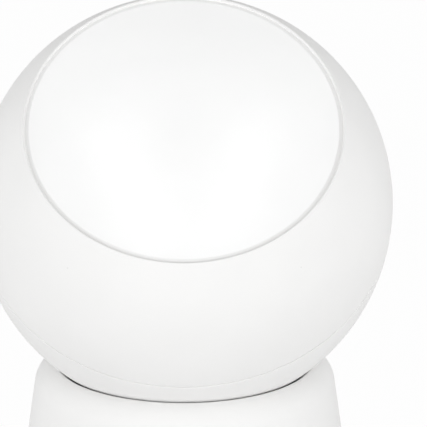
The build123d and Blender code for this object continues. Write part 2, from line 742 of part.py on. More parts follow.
def head_screws():
    """Like screws into the front shell's bosses and the light board's posts."""
    screw = pan_screw(frame_screw, 8, 1.9, 1.1)
    rear = Pos(0, 0, chassis_offset) * from_below(screw)
    front = Pos(0, 0, light_board_offset + board_thickness) * screw
    rear_screws = at_angles(chassis_boss_angles, chassis_boss_circle, rear)
    return rear_screws + at_angles(light_screw_angles, light_screw_circle, front)


def tilt_axles():
    """Hollow pins fixed in the ears; the left one passes the lead."""
    start, shoulder = fork_half_width - fork_arm - 0.5, ear_outer + sector_thickness
    pin = rod(axle_radius, start, shoulder + 0.01)
    pin += rod(axle_head, shoulder, shoulder + axle_head_thickness)
    pin -= rod(axle_bore, 0, axle_end + 1)
    return [across * pin, Rot(0, 0, 180) * across * pin]


def tilt_sector():
    """Toothed sector on the right ear, driven by the tilt pinion; it stands upright at rest."""
    teeth = extrude(gear_outline(sector_teeth, -5, 5, hub=6), sector_thickness)
    sector = teeth + rod(arm_depth / 2, 0, sector_thickness)
    sector -= rod(axle_radius + 0.02, -1, sector_thickness + 1)
    return Rot(face_elevation - 90, 0, 0) * Pos(ear_outer, 0, 0) * across * sector


# ---- Head: shells -------------------------------------------------------------------------------
tongue_outer, tongue_inner, tongue_height = 77.1, 75.6, 4.0
neck_slot, neck_slot_corner = 62.0, 6.0  # along the tilt, and its corner rounding


def on_ball(radius, height):
    """Point of a ball's profile at a height along the face axis."""
    return (sqrt(radius**2 - height**2), height)


def front_shell():
    """Front of the ball: a soft rim bevelled down to the panel, a ledge for it, four bosses."""
    round_r = sqrt((head_radius - rim_round) ** 2 - (rim_offset - rim_round) ** 2)
    round_z = rim_offset - rim_round
    blend_turn, crest_turn = asin(round_z / (head_radius - rim_round)), radians(rim_crest)
    turns = (blend_turn, (blend_turn + crest_turn) / 2, crest_turn)
    blend, middle, crest = [(round_r + rim_round * cos(a), round_z + rim_round * sin(a)) for a in turns]
    bevel_low = crest[1] - (crest[0] - face_radius) * tan(radians(rim_bevel))
    outline = ThreePointArc(on_ball(head_radius, seam_half_gap), on_ball(head_radius, 30), blend)
    outline += ThreePointArc(blend, middle, crest)
    outline += Polyline(
        crest,
        (face_radius, bevel_low),
        (face_radius, ledge_top),
        (face_radius - ledge_width, ledge_top),
        (face_radius - ledge_width, ledge_low),
        on_ball(inner_radius, ledge_low),
    )
    outline += ThreePointArc(
        on_ball(inner_radius, ledge_low), on_ball(inner_radius, 30), on_ball(inner_radius, seam_half_gap)
    )
    outline += Line(on_ball(inner_radius, seam_half_gap), on_ball(head_radius, seam_half_gap))
    shell = turned(outline)
    boss_low = chassis_offset + chassis_thickness
    boss = rod(chassis_boss_radius, boss_low, ledge_low - 2)
    ball = Sphere(inner_radius + 1.5)
    shell += [place & ball for place in at_angles(chassis_boss_angles, chassis_boss_circle, boss)]
    pilot = rod(frame_screw, boss_low - 1, boss_low + 11)
    shell -= at_angles(chassis_boss_angles, chassis_boss_circle, pilot)
    port = rod(port_radius, inner_radius - 5, head_radius + 5)
    return shell - [place * port for place in microphone_places()]


def rear_shell():
    """Rear of the ball, with a tongue inside the front shell and a slot for the neck below."""
    half = head_radius / sqrt(2)
    inner_half = inner_radius / sqrt(2)
    outline = ThreePointArc(on_ball(head_radius, -seam_half_gap), (half, -half), (0, -head_radius))
    outline += Line((0, -head_radius), (0, -inner_radius))
    outline += ThreePointArc(
        (0, -inner_radius), (inner_half, -inner_half), on_ball(inner_radius, -seam_half_gap)
    )
    outline += Line(on_ball(inner_radius, -seam_half_gap), on_ball(head_radius, -seam_half_gap))
    root = tube(inner_radius + 0.4, tongue_inner, -6, -seam_half_gap)
    shell = turned(outline) + root + tube(tongue_outer, tongue_inner, -1, tongue_height)
    slot = RectangleRounded(post_width + 3, neck_slot, neck_slot_corner)
    slot = Pos(0, 0, -head_radius) * extrude(slot, head_radius / 2, both=True)
    return shell - Rot(face_elevation - 90, 0, 0) * slot


# ---- Head: face and light -----------------------------------------------------------------------
panel_gap = 0.15
film_thickness, film_inset = 0.8, 1.0
light_box_wall, light_box_mouth = 1.2, 53.0
light_size, light_height = 3.5, 1.4
light_rings = {38.0: 12, 20.0: 6}  # lights on each circle
microphone_polar, microphone_turn = 58.4, 38.0
microphone_offset, port_radius = 73.5, 0.3
seal_radius, seal_depth = 2.4, 0.2


def face_panel():
    return rod(face_radius - panel_gap, ledge_top, panel_offset)


def diffuser_film():
    return rod(face_radius - film_inset, ledge_low - film_thickness, ledge_low)


def light_box():
    """White funnel that mixes the light between the board and the panel."""
    low, high = light_board_offset, ledge_low - film_thickness - 0.1
    throat = light_board_radius + 0.3
    corners = [
        (throat, low),
        (light_box_mouth, high),
        (light_box_mouth + light_box_wall, high),
        (throat + light_box_wall, low),
    ]
    return turned(Polyline(*corners, close=True))


def light_board():
    top = light_board_offset + board_thickness
    board = rod(light_board_radius, light_board_offset, top)
    hole = rod(frame_screw + screw_room, light_board_offset - 1, top + 1)
    return board - at_angles(light_screw_angles, light_screw_circle, hole)


def lights():
    """Square lights on two circles."""
    chip = Pos(0, 0, light_board_offset + board_thickness + light_height / 2)
    chip = chip * Box(light_size, light_size, light_height)
    placed = []
    for circle, count in light_rings.items():
        placed += at_angles([360 * (i + count / 12) / count for i in range(count)], circle, chip)
    return placed


def microphone_places():
    """Frames of the two microphone ports below the face, +Z out of the ball."""
    return [Rot(0, 0, side * microphone_turn - 90) * Rot(0, microphone_polar, 0) for side in (-1, 1)]


def microphones():
    """Microphone boards behind the ports."""
    board = rod(4.5, microphone_offset, microphone_offset + 1)
    board += Pos(0, 0, microphone_offset - 0.6) * Box(4, 3, 1.21)
    return [place * board for place in microphone_places()]


def microphone_seals():
    """Rubber seals that fill the ports almost to the surface."""
    seal = rod(seal_radius, microphone_offset + 1, inner_radius - 0.2)
    seal += rod(port_radius - 0.03, inner_radius - 0.3, head_radius - seal_depth)
    return [place * seal for place in microphone_places()]


def head_cable():
    """Lead from the left axle to the back of the light board."""
    points = [(-axle_end - 0.4, 0, 0), (head_cable_x, 0, 0), (head_cable_x, 0, light_board_offset - 0.2)]
    return cable(cable_radius, 9, points)


# ---- Assembly -----------------------------------------------------------------------------------
upright_pieces = [
    foot_ring,
    base_plate,
    floor_screws,
    ballast_disc,
    sound_deflector,
    speaker_grille,
    acoustic_cloth,
    base_shell,
    socket_bowl,
    speaker_baffle,
    speaker_enclosure,
    driver_basket,
    driver_surround,
    driver_spider,
    driver_cone,
    dust_cap,
    voice_coil,
    driver_magnet,
    magnet_iron,
    small_screws,
    main_board,
    board_parts,
    base_cable,
    power_inlet,
    switch_board,
    bearing_deck,
    deck_screws,
    bearing_outer_race,
    bearing_inner_race,
    bearing_clip,
    turntable,
    pan_gear,
    pan_pinion,
    pan_motor,
    pan_motor_shaft,
    neck_post,
    neck_screws,
    tilt_fork,
    tilt_bushes,
    tilt_motor,
    tilt_motor_shaft,
    tilt_pinion,
    neck_cable,
]
head_pieces = [
    front_shell,
    rear_shell,
    head_chassis,
    head_screws,
    tilt_axles,
    tilt_sector,
    face_panel,
    diffuser_film,
    light_box,
    light_board,
    lights,
    microphones,
    microphone_seals,
    head_cable,
]


def solids_of(shape):
    """One shape from a piece or from a group of like pieces."""
    parts = shape if isinstance(shape, list) else [shape]
    solids = [solid for part in parts for solid in part.solids()]
    return solids[0] if len(solids) == 1 else Compound(solids)


def main():
    os.makedirs("parts", exist_ok=True)
    pieces = {piece.__name__: solids_of(piece()) for piece in upright_pieces}
    pieces.update({name: solids_of(wall_button(height)) for name, height in button_heights.items()})
    for piece in head_pieces:
        pieces[piece.__name__] = face_frame * solids_of(piece())
    for name, shape in pieces.items():
        export_step(shape, f"parts/{name}.step")
    print(len(pieces), "nodes")


main()
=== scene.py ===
import bpy
import bmesh
import json
from math import acos, asin, atan2, cos, degrees, inf, pi, radians, sin, sqrt, tan
from mathutils import Matrix, Vector


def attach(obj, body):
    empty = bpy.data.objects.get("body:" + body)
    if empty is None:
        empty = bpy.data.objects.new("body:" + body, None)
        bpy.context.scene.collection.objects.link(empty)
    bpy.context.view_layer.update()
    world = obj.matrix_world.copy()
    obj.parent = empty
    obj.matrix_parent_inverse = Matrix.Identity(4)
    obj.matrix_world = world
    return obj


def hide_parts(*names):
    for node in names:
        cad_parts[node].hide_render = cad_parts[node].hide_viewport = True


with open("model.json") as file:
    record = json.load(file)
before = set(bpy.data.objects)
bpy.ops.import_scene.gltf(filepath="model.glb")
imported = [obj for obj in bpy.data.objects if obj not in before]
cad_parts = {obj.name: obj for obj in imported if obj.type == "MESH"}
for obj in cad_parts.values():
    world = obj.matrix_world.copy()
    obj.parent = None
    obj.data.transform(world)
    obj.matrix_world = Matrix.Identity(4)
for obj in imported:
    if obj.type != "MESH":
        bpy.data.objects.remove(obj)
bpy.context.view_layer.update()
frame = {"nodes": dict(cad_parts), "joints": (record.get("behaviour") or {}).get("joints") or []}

# ---- Camera, table and lamps ----------------------------------------------------------------------
# A pale table under soft studio light. The camera stands in front of the speaker, a little above
# the middle of the ball, and frames the ball closely.
mm = 0.001
joint_place = {joint["name"]: Vector(joint.get("pos_m") or (0, 0, 0)) for joint in frame["joints"]}
ball_centre = joint_place["head_tilt"]
ball_radius = 80 * mm
camera_rise = radians(15.74)
camera_distance = 12 * ball_radius
focal_pixels, frame_pixels = 2496.9, 427
aside, below = 29.25, 10.1


def in_scene(name, data):
    """New object for this data, linked to the scene."""
    thing = bpy.data.objects.new(name, data)
    bpy.context.scene.collection.objects.link(thing)
    return thing


def aimed(thing, place, target):
    """Put a camera or lamp at a place, looking at a target."""
    thing.location = place
    thing.rotation_euler = (Vector(target) - Vector(place)).to_track_quat("-Z", "Y").to_euler()


toward = Vector((0, -cos(camera_rise), sin(camera_rise)))
upward = Vector((0, sin(camera_rise), cos(camera_rise)))
camera = in_scene("front_camera", bpy.data.cameras.new("front_camera"))
offset = (aside * Vector((1, 0, 0)) - below * upward) * camera_distance / focal_pixels
aimed(camera, ball_centre + camera_distance * toward, ball_centre + offset)
camera.data.sensor_width = 36
camera.data.lens = camera.data.sensor_width * focal_pixels / frame_pixels
camera.data.clip_start, camera.data.clip_end = 0.01, 50
bpy.context.scene.camera = camera


def reckoned(tree, operation, first, second):
    """Result of a sum on two amounts; the first is a socket, the second a socket or a number."""
    step = tree.nodes.new("ShaderNodeMath")
    step.operation = operation
    tree.links.new(first, step.inputs[0])
    if isinstance(second, (int, float)):
        step.inputs[1].default_value = second
    else:
        tree.links.new(second, step.inputs[1])
    return step.outputs[0]


def white_to_the_eye(tree, lit, share):
    """A surface or backdrop that is lit as usual and shows white to the camera, in gloss and through
    clear pieces; the share is how much of that white replaces the lit look."""
    rays = tree.nodes.new("ShaderNodeLightPath").outputs
    seen = reckoned(tree, "MAXIMUM", rays["Is Camera Ray"], rays["Is Glossy Ray"])
    through = reckoned(tree, "MAXIMUM", seen, rays["Is Transmission Ray"])
    in_world = lit.node.type == "BACKGROUND"
    glow = tree.nodes.new("ShaderNodeBackground" if in_world else "ShaderNodeEmission")
    mix = tree.nodes.new("ShaderNodeMixShader")
    tree.links.new(reckoned(tree, "MULTIPLY", through, share), mix.inputs["Fac"])
    tree.links.new(lit, mix.inputs[1])
    tree.links.new(glow.outputs[0], mix.inputs[2])
    glow.inputs["Color"].default_value = (1, 1, 1, 1)
    glow.inputs["Strength"].default_value = 1.0
    output = next(node for node in tree.nodes if node.type in ("OUTPUT_MATERIAL", "OUTPUT_WORLD"))
    tree.links.new(mix.outputs[0], output.inputs["Surface"])


table_half, table_share = 6.0, 0.975
table_mesh = bpy.data.meshes.new("table_top")
corners = [(x * table_half, y * table_half, 0) for x, y in ((-1, -1), (1, -1), (1, 1), (-1, 1))]
table_mesh.from_pydata(corners, [], [(0, 1, 2, 3)])
table_top = in_scene("table_top", table_mesh)
table_finish = bpy.data.materials.new("white_table")
table_finish.use_nodes = True
table_finish.node_tree.nodes.remove(table_finish.node_tree.nodes["Principled BSDF"])
table_matte = table_finish.node_tree.nodes.new("ShaderNodeBsdfDiffuse")
table_matte.inputs["Color"].default_value = (0.84, 0.84, 0.84, 1)
white_to_the_eye(table_finish.node_tree, table_matte.outputs[0], table_share)
table_mesh.materials.append(table_finish)

room = bpy.data.worlds.new("white_room")
room.use_nodes = True
bpy.context.scene.world = room
room_light = room.node_tree.nodes["Background"]
room_light.inputs["Color"].default_value = (1, 1, 1, 1)
room_light.inputs["Strength"].default_value = 0.52
white_to_the_eye(room.node_tree, room_light.outputs[0], 1.0)
bpy.context.scene.view_settings.view_transform = "Standard"


def soft_lamp(name, place, target, size, brightness, turn=0):
    """Rectangular soft box, turned about its own axis; brightness is the radiance of its face."""
    lamp = in_scene(name, bpy.data.lights.new(name, "AREA"))
    lamp.data.shape = "RECTANGLE"
    lamp.data.size, lamp.data.size_y = size
    lamp.data.energy = brightness * pi * size[0] * size[1]
    aimed(lamp, place, target)
    lamp.rotation_euler.rotate_axis("Z", radians(turn))


# Places and sizes in metres. The face mirrors the overhead box and the two slanted strips below it.
ball_aim, low_aim = (0, 0, 0.14), (0, 0, 0.1)
strip_aside, strip_ahead, strip_height, strip_turn = 0.044, -0.24, 1.3, 68
overhead_ahead, overhead_height = -0.235, 1.34
overhead_place, overhead_aim = (0, overhead_ahead, overhead_height), (0, overhead_ahead, 0)
soft_lamp("front_box", (0, -2.2, 0.25), ball_aim, (1.6, 0.45), 3.55)
soft_lamp("overhead_box", overhead_place, overhead_aim, (0.25, 0.21), 1.15)
for side, name in ((-1, "left"), (1, "right")):
    soft_lamp(name + "_front_box", (side * 1.5, -1.6, 0.9), ball_aim, (1.0, 1.0), 1.4)
    soft_lamp(name + "_side_box", (side * 2.0, -0.4, 0.5), ball_aim, (1.0, 0.8), 1.45)
    soft_lamp(name + "_low_box", (side * 1.7, -1.3, 0.16), low_aim, (0.9, 0.3), 9.5)
    across, along = side * strip_aside, strip_ahead
    strip_place, strip_aim = (across, along, strip_height), (across, along, 0)
    soft_lamp(name + "_strip", strip_place, strip_aim, (0.13, 0.045), 1.9, side * strip_turn)

# ---- Foot ring ------------------------------------------------------------------------------------
# A flat ring of dark rubber that keeps the base from sliding. It is moulded with soft edges and a
# fine grain, and glued to the underside of the floor.
crease = radians(32)
weld_distance, widest_gap = 0.002 * mm, 8


def arc(middle, radius, start, stop, steps):
    """Points along an arc in a section of (radius, height); angles in degrees, 0 outwards, 90 up."""
    turns = [radians(start + (stop - start) * i / steps) for i in range(steps + 1)]
    return [(middle[0] + radius * cos(turn), middle[1] + radius * sin(turn)) for turn in turns]


def finished_mesh(mesh):
    """Weld a mesh, close gaps of few sides, turn its faces outwards and shade it between its edges."""
    edit = bmesh.new()
    edit.from_mesh(mesh)
    bmesh.ops.remove_doubles(edit, verts=edit.verts, dist=weld_distance)
    bmesh.ops.delete(edit, geom=[point for point in edit.verts if not point.link_faces], context="VERTS")
    open_edges = [edge for edge in edit.edges if edge.is_boundary]
    bmesh.ops.holes_fill(edit, edges=open_edges, sides=widest_gap)
    bmesh.ops.recalc_face_normals(edit, faces=edit.faces)
    edit.to_mesh(mesh)
    edit.free()
    mesh.shade_smooth()
    mesh.set_sharp_from_angle(angle=crease)


def solid(name, points, faces):
    """Closed piece from its points, given in millimetres, and its faces."""
    mesh = bpy.data.meshes.new(name)
    mesh.from_pydata([Vector(point) * mm for point in points], [], faces)
    finished_mesh(mesh)
    return in_scene(name, mesh)


def spun(name, outline, turns=96, place=Matrix()):
    """Closed outline of (radius, height) points turned about the upright axis of a place."""
    points, rings, faces = [], [], []
    for radius, height in outline:
        count = turns if radius > 0 else 1
        rings.append([len(points) + i % count for i in range(turns)])
        around = [2 * pi * i / turns for i in range(count)]
        points += [place @ Vector((radius * cos(turn), radius * sin(turn), height)) for turn in around]
    for one, two in zip(rings, rings[1:] + rings[:1]):
        for i in range(turns):
            face = list(dict.fromkeys((one[i - 1], one[i], two[i], two[i - 1])))
            if len(face) > 2:
                faces.append(face)
    return solid(name, points, faces)


def new_finish(name, roughness, metallic=0.0, gleam=0.5):
    """Material with its tree, its shader and the object's own coordinates."""
    finish = bpy.data.materials.new(name)
    finish.use_nodes = True
    tree = finish.node_tree
    shader = tree.nodes["Principled BSDF"]
    shader.inputs["Roughness"].default_value = roughness
    shader.inputs["Metallic"].default_value = metallic
    shader.inputs["Specular IOR Level"].default_value = gleam
    return finish, tree, shader, tree.nodes.new("ShaderNodeTexCoord").outputs["Object"]


def stretched(tree, coordinates, scale):
    """The coordinates drawn out along one or more axes."""
    mapping = tree.nodes.new("ShaderNodeMapping")
    mapping.inputs["Scale"].default_value = scale
    tree.links.new(coordinates, mapping.inputs["Vector"])
    return mapping.outputs["Vector"]


def mottle(tree, coordinates, size, low, high, detail=2.0):
    """Soft noise with features of this size, spread from low to high."""
    noise = tree.nodes.new("ShaderNodeTexNoise")
    noise.inputs["Scale"].default_value = 1 / size
    noise.inputs["Detail"].default_value = detail
    tree.links.new(coordinates, noise.inputs["Vector"])
    return spread(tree, noise.outputs["Fac"], 0.32, 0.68, low, high)


def spread(tree, value, start, stop, low, high):
    """A value between start and stop mapped to low and high."""
    remap = tree.nodes.new("ShaderNodeMapRange")
    for socket, amount in zip(("From Min", "From Max", "To Min", "To Max"), (start, stop, low, high)):
        remap.inputs[socket].default_value = amount
    tree.links.new(value, remap.inputs["Value"])
    return remap.outputs["Result"]


def mixed(tree, amount, first, second):
    """Colour between two others; each is a plain colour or a socket."""
    mix = tree.nodes.new("ShaderNodeMix")
    mix.data_type = "RGBA"
    tree.links.new(amount, mix.inputs["Factor"])
    for socket, colour in ((mix.inputs[6], first), (mix.inputs[7], second)):
        if isinstance(colour, tuple):
            socket.default_value = (*colour, 1)
        else:
            tree.links.new(colour, socket)
    return mix.outputs[2]


def relief(tree, shader, height, depth):
    """Fine relief of this depth on the shader, from a height between 0 and 1."""
    bump = tree.nodes.new("ShaderNodeBump")
    bump.inputs["Distance"].default_value = depth
    tree.links.new(height, bump.inputs["Height"])
    tree.links.new(bump.outputs["Normal"], shader.inputs["Normal"])


def moulded(name, colour, roughness, grain=0.25 * mm, depth=0.004 * mm, cloud=0.02, gleam=0.5):
    """Moulded plastic or rubber: spark-eroded grain, faint clouds in its colour and its gloss."""
    finish, tree, shader, coordinates = new_finish(name, roughness, gleam=gleam)
    deeper = tuple(part * (1 - cloud) for part in colour)
    clouds = mottle(tree, coordinates, 35 * mm, 0, 1)
    tree.links.new(mixed(tree, clouds, deeper, colour), shader.inputs["Base Color"])
    gloss = mottle(tree, coordinates, 12 * mm, roughness - 0.03, roughness + 0.03)
    tree.links.new(gloss, shader.inputs["Roughness"])
    relief(tree, shader, mottle(tree, coordinates, grain, 0, 1), depth)
    return finish


def fitted(piece, finish, body, slot, *nodes):
    """Give a finished piece its material and its body, and hide the nodes it stands for; the slot is not
    used.
    """
    piece.data.materials.clear()
    piece.data.materials.append(finish)
    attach(piece, body)
    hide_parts(*nodes)


def dressed(finish, *nodes):
    """Give CAD nodes their material."""
    for node in nodes:
        for socket in frame["nodes"][node].material_slots:
            socket.material = finish


foot_outer, foot_inner, foot_height, foot_edge = 67.0, 50.0, 1.5, 0.4
foot_outline = [
    *arc((foot_outer - foot_edge, foot_edge), foot_edge, -90, 0, 4),
    (foot_outer, foot_height),
    (foot_inner, foot_height),
    *arc((foot_inner + foot_edge, foot_edge), foot_edge, 180, 270, 4),
]
rubber = moulded("dark_rubber", (0.05, 0.05, 0.052), 0.75, grain=0.5 * mm, depth=0.02 * mm, cloud=0.2)
fitted(spun("rubber_foot", foot_outline, 144), rubber, "base", "foot_rubber", "foot_ring")

# ---- Floor of the base ----------------------------------------------------------------------------
# A moulded disc that closes the base from below. Eight screws in sunk holes hold it to the shell's
# legs and to the speaker baffle.
wall_lean = radians(8.3)
wall_top_radius, wall_top_height = 58.67, 88.95
floor_top, floor_edge = 5.0, 1.2
leg_angles, leg_circle = (65, 115, 225, 315), 55.5
baffle_leg_angles, baffle_leg_circle = (45, 135, 225, 315), 42.5
floor_screw, floor_screw_head, floor_screw_seat = 1.3, 2.5, 3.2
hole_room, sunk_room = 0.2, 0.3


def wall_radius(height):
    """Outer radius of the base's flared wall."""
    return wall_top_radius + (wall_top_height - height) * tan(wall_lean)


def on_circle(angles, radius, height=0.0):
    """Places on a circle about the upright axis, each turned to face outwards."""
    return [
        Matrix.Rotation(radians(angle), 4, "Z") @ Matrix.Translation((radius, 0, height))
        for angle in angles
    ]


def reshaped(piece, operation, tools):
    """Cut the tools from the piece, or join them to it, as one plain mesh; the tools are used up."""
    for tool in tools:
        step = piece.modifiers.new("step", "BOOLEAN")
        step.operation = operation
        step.solver = "EXACT"
        step.object = tool
    evaluated = piece.evaluated_get(bpy.context.evaluated_depsgraph_get())
    piece.data = bpy.data.meshes.new_from_object(evaluated)
    piece.modifiers.clear()
    finished_mesh(piece.data)
    for tool in tools:
        bpy.data.objects.remove(tool)
    return piece


def rods(places, outline, turns=32):
    """Like turned shapes at several places, as tools or pieces."""
    return [spun("rod", outline, turns, place) for place in places]


def rod_outline(radius, low, high):
    """Outline of a plain rod."""
    return [(0, low), (radius, low), (radius, high), (0, high)]


shell_white = moulded("satin_white_shell", (0.88, 0.878, 0.872), 0.6, gleam=0.22)
floor_outline = [
    (0, foot_height),
    *arc(
        (wall_radius(foot_height + floor_edge) - floor_edge, foot_height + floor_edge),
        floor_edge, -90, 0, 6,
    ),
    (wall_radius(floor_top), floor_top),
    (0, floor_top),
]
hole = rod_outline(floor_screw + hole_room, -1, floor_top + 1)
sunk = rod_outline(floor_screw_head + sunk_room, -1, floor_screw_seat)
leg_places = on_circle(leg_angles, leg_circle)
screw_places = leg_places + on_circle(baffle_leg_angles, baffle_leg_circle)
floor_plate = spun("floor_plate", floor_outline, 192)
reshaped(floor_plate, "DIFFERENCE", rods(screw_places, sunk) + rods(screw_places, hole))
fitted(floor_plate, shell_white, "base", "shell_white", "base_plate")

# ---- Screws of the floor --------------------------------------------------------------------------
# Zinc-plated pan screws with a cross recess and a cut thread. Geometry Nodes set one turned and cut
# screw in each of the eight sunk holes, heads down.
upside_down = Matrix.Rotation(pi, 4, "X")


def extruded(name, outline, low, high, place=Matrix()):
    """Closed outline of (x, y) points drawn out along the upright axis of a place."""
    count = len(outline)
    points = [place @ Vector((x, y, height)) for height in (low, high) for x, y in outline]
    sides = [(i, (i + 1) % count, count + (i + 1) % count, count + i) for i in range(count)]
    return solid(name, points, sides + [tuple(range(count)), tuple(range(count, 2 * count))])


def round_rectangle(width, depth, corner, steps=8):
    """Outline of a rectangle with round corners; a corner of half its depth makes an oval slot."""
    x, y = width / 2 - corner, depth / 2 - corner
    places = ((x, y, 0), (-x, y, 90), (-x, -y, 180), (x, -y, 270))
    return [point for cx, cy, start in places for point in arc((cx, cy), corner, start, start + 90, steps)]


def pan_screw(hole, length, head, thickness):
    """Screw for a hole of this radius, pointing down, with its head's underside at the origin."""
    thread, pitch = hole - 0.05, 0.7
    turns = int(length / pitch)
    outline = [(0, -length), (thread / 2, -length)]
    for turn in range(turns):
        outline += [(thread, (turn - turns + 0.5) * pitch), (thread * 0.84, (turn - turns + 0.95) * pitch)]
    outline += [(thread, 0), (head, 0), (head, thickness * 0.45)]
    outline += [
        (head * cos(turn / 8 * pi), thickness * (0.45 + 0.55 * sin(turn / 8 * pi)))
        for turn in (1, 2, 3)
    ]
    outline.append((0, thickness))
    bars = [extruded("bar", round_rectangle(*size, 0.05, 1), thickness * 0.4, thickness + 1)
            for size in ((head * 1.1, head * 0.25), (head * 0.25, head * 1.1))]
    return reshaped(spun("screw", outline, 16), "DIFFERENCE", bars)


def copies_at_places():
    """Geometry Nodes tree that sets a piece on every point, turned as the point says."""
    tree = bpy.data.node_groups.new("copies_at_places", "GeometryNodeTree")
    for label, kind in (("Places", "Geometry"), ("Piece", "Object"), ("Finish", "Material")):
        tree.interface.new_socket(label, in_out="INPUT", socket_type="NodeSocket" + kind)
    tree.interface.new_socket("Copies", in_out="OUTPUT", socket_type="NodeSocketGeometry")
    source, sink = tree.nodes.new("NodeGroupInput"), tree.nodes.new("NodeGroupOutput")
    piece = tree.nodes.new("GeometryNodeObjectInfo")
    facing = tree.nodes.new("GeometryNodeInputNamedAttribute")
    facing.data_type = "FLOAT_VECTOR"
    facing.inputs["Name"].default_value = "facing"
    copies = tree.nodes.new("GeometryNodeInstanceOnPoints")
    real = tree.nodes.new("GeometryNodeRealizeInstances")
    coat = tree.nodes.new("GeometryNodeSetMaterial")
    for start, end in (
        (source.outputs["Places"], copies.inputs["Points"]),
        (source.outputs["Piece"], piece.inputs["Object"]),
        (piece.outputs["Geometry"], copies.inputs["Instance"]),
        (facing.outputs["Attribute"], copies.inputs["Rotation"]),
        (copies.outputs["Instances"], real.inputs["Geometry"]),
        (real.outputs["Geometry"], coat.inputs["Geometry"]),
        (source.outputs["Finish"], coat.inputs["Material"]),
        (coat.outputs["Geometry"], sink.inputs["Copies"]),
    ):
        tree.links.new(start, end)
    return tree


copies_tree = copies_at_places()


def repeated(name, piece, places, finish):
    """One mesh of a piece repeated at every place; the piece itself is used up."""
    points = bpy.data.meshes.new(name)
    points.from_pydata([place.translation * mm for place in places], [], [])
    facing = points.attributes.new("facing", "FLOAT_VECTOR", "POINT")
    facing.data.foreach_set("vector", [angle for place in places for angle in place.to_euler()])
    group = in_scene(name, points)
    copies = group.modifiers.new("copies", "NODES")
    copies.node_group = copies_tree
    sockets = {item.name: item.identifier for item in copies_tree.interface.items_tree}
    copies[sockets["Piece"]] = piece
    copies[sockets["Finish"]] = finish
    evaluated = group.evaluated_get(bpy.context.evaluated_depsgraph_get())
    group.data = bpy.data.meshes.new_from_object(evaluated)
    group.modifiers.clear()
    finished_mesh(group.data)
    bpy.data.objects.remove(piece)
    return group


def metal(name, colour, roughness, grain=(1, 1, 12)):
    """Bare or plated metal with fine drawn or turned lines in its gloss."""
    finish, tree, shader, coordinates = new_finish(name, roughness, 1.0)
    lines = stretched(tree, coordinates, grain)
    duller = tuple(part * 0.88 for part in colour)
    streaks = mottle(tree, lines, 1.5 * mm, 0, 1)
    tree.links.new(mixed(tree, streaks, duller, colour), shader.inputs["Base Color"])
    gloss = mottle(tree, lines, 0.6 * mm, roughness - 0.06, roughness + 0.08)
    tree.links.new(gloss, shader.inputs["Roughness"])
    relief(tree, shader, mottle(tree, lines, 0.3 * mm, 0, 1), 0.003 * mm)
    return finish


zinc = metal("zinc_plated_steel", (0.62, 0.63, 0.66), 0.3)
seats = [place @ Matrix.Translation((0, 0, floor_screw_seat)) @ upside_down for place in screw_places]
screws = repeated("floor_screw_set", pan_screw(floor_screw, 11, floor_screw_head, 1.5), seats, zinc)
fitted(screws, zinc, "base", "steel", "floor_screws")

# ---- Ballast disc and sound deflector -------------------------------------------------------------
# A punched steel disc on the floor keeps the speaker steady. On it lies a moulded cone that turns
# the driver's sound out through the grille.
black_plastic = moulded("black_frame_plastic", (0.042, 0.042, 0.045), 0.5, grain=0.4 * mm, cloud=0.12)
ballast_steel = metal("punched_steel", (0.5, 0.5, 0.52), 0.42, (12, 1, 1))
dressed(ballast_steel, "ballast_disc")
dressed(black_plastic, "sound_deflector")

# ---- Speaker baffle and enclosure -----------------------------------------------------------------
# Two black mouldings: a plate on four legs that holds the driver face down, and the sealed cup
# behind it. The cup's posts carry the main board.
dressed(black_plastic, "speaker_baffle", "speaker_enclosure")

# ---- Speaker driver -------------------------------------------------------------------------------
# Pressed basket, ferrite ring between plated iron, paper cone and cap on a copper coil, hung in a
# rubber roll and a corrugated cloth spider. Four small screws hold it to the baffle.
basket_steel = metal("pressed_basket_steel", (0.2, 0.2, 0.21), 0.45)
dressed(basket_steel, "driver_basket", "magnet_iron")
ferrite = moulded("fired_ferrite", (0.028, 0.028, 0.03), 0.6, grain=0.15 * mm, depth=0.01 * mm, cloud=0.3)
dressed(ferrite, "driver_magnet")
roll_rubber = moulded("rubber_roll", (0.03, 0.03, 0.032), 0.55, grain=0.3 * mm, cloud=0.15)
dressed(roll_rubber, "driver_surround")

cone_paper, tree, shader, coordinates = new_finish("pressed_paper", 0.85)
fibres = mottle(tree, stretched(tree, coordinates, (1, 1, 3)), 0.9 * mm, 0, 1, 6.0)
tree.links.new(mixed(tree, fibres, (0.055, 0.053, 0.05), (0.1, 0.096, 0.09)), shader.inputs["Base Color"])
relief(tree, shader, fibres, 0.04 * mm)
dressed(cone_paper, "driver_cone", "dust_cap")


def waves(tree, coordinates, direction, reach, distortion=0.0):
    """Parallel waves across a direction; one wave is 2 pi times the reach long."""
    radians_at_scale_one = 20
    wave = tree.nodes.new("ShaderNodeTexWave")
    wave.bands_direction = direction
    wave.inputs["Scale"].default_value = 1 / (radians_at_scale_one * reach)
    wave.inputs["Distortion"].default_value = distortion
    tree.links.new(coordinates, wave.inputs["Vector"])
    return wave.outputs["Fac"]


coil_copper, tree, shader, coordinates = new_finish("enamelled_copper_wire", 0.3, 1.0)
wire = waves(tree, coordinates, "Z", 0.2 * mm)
tree.links.new(mixed(tree, wire, (0.35, 0.12, 0.05), (0.85, 0.42, 0.22)), shader.inputs["Base Color"])
relief(tree, shader, wire, 0.06 * mm)
dressed(coil_copper, "voice_coil")


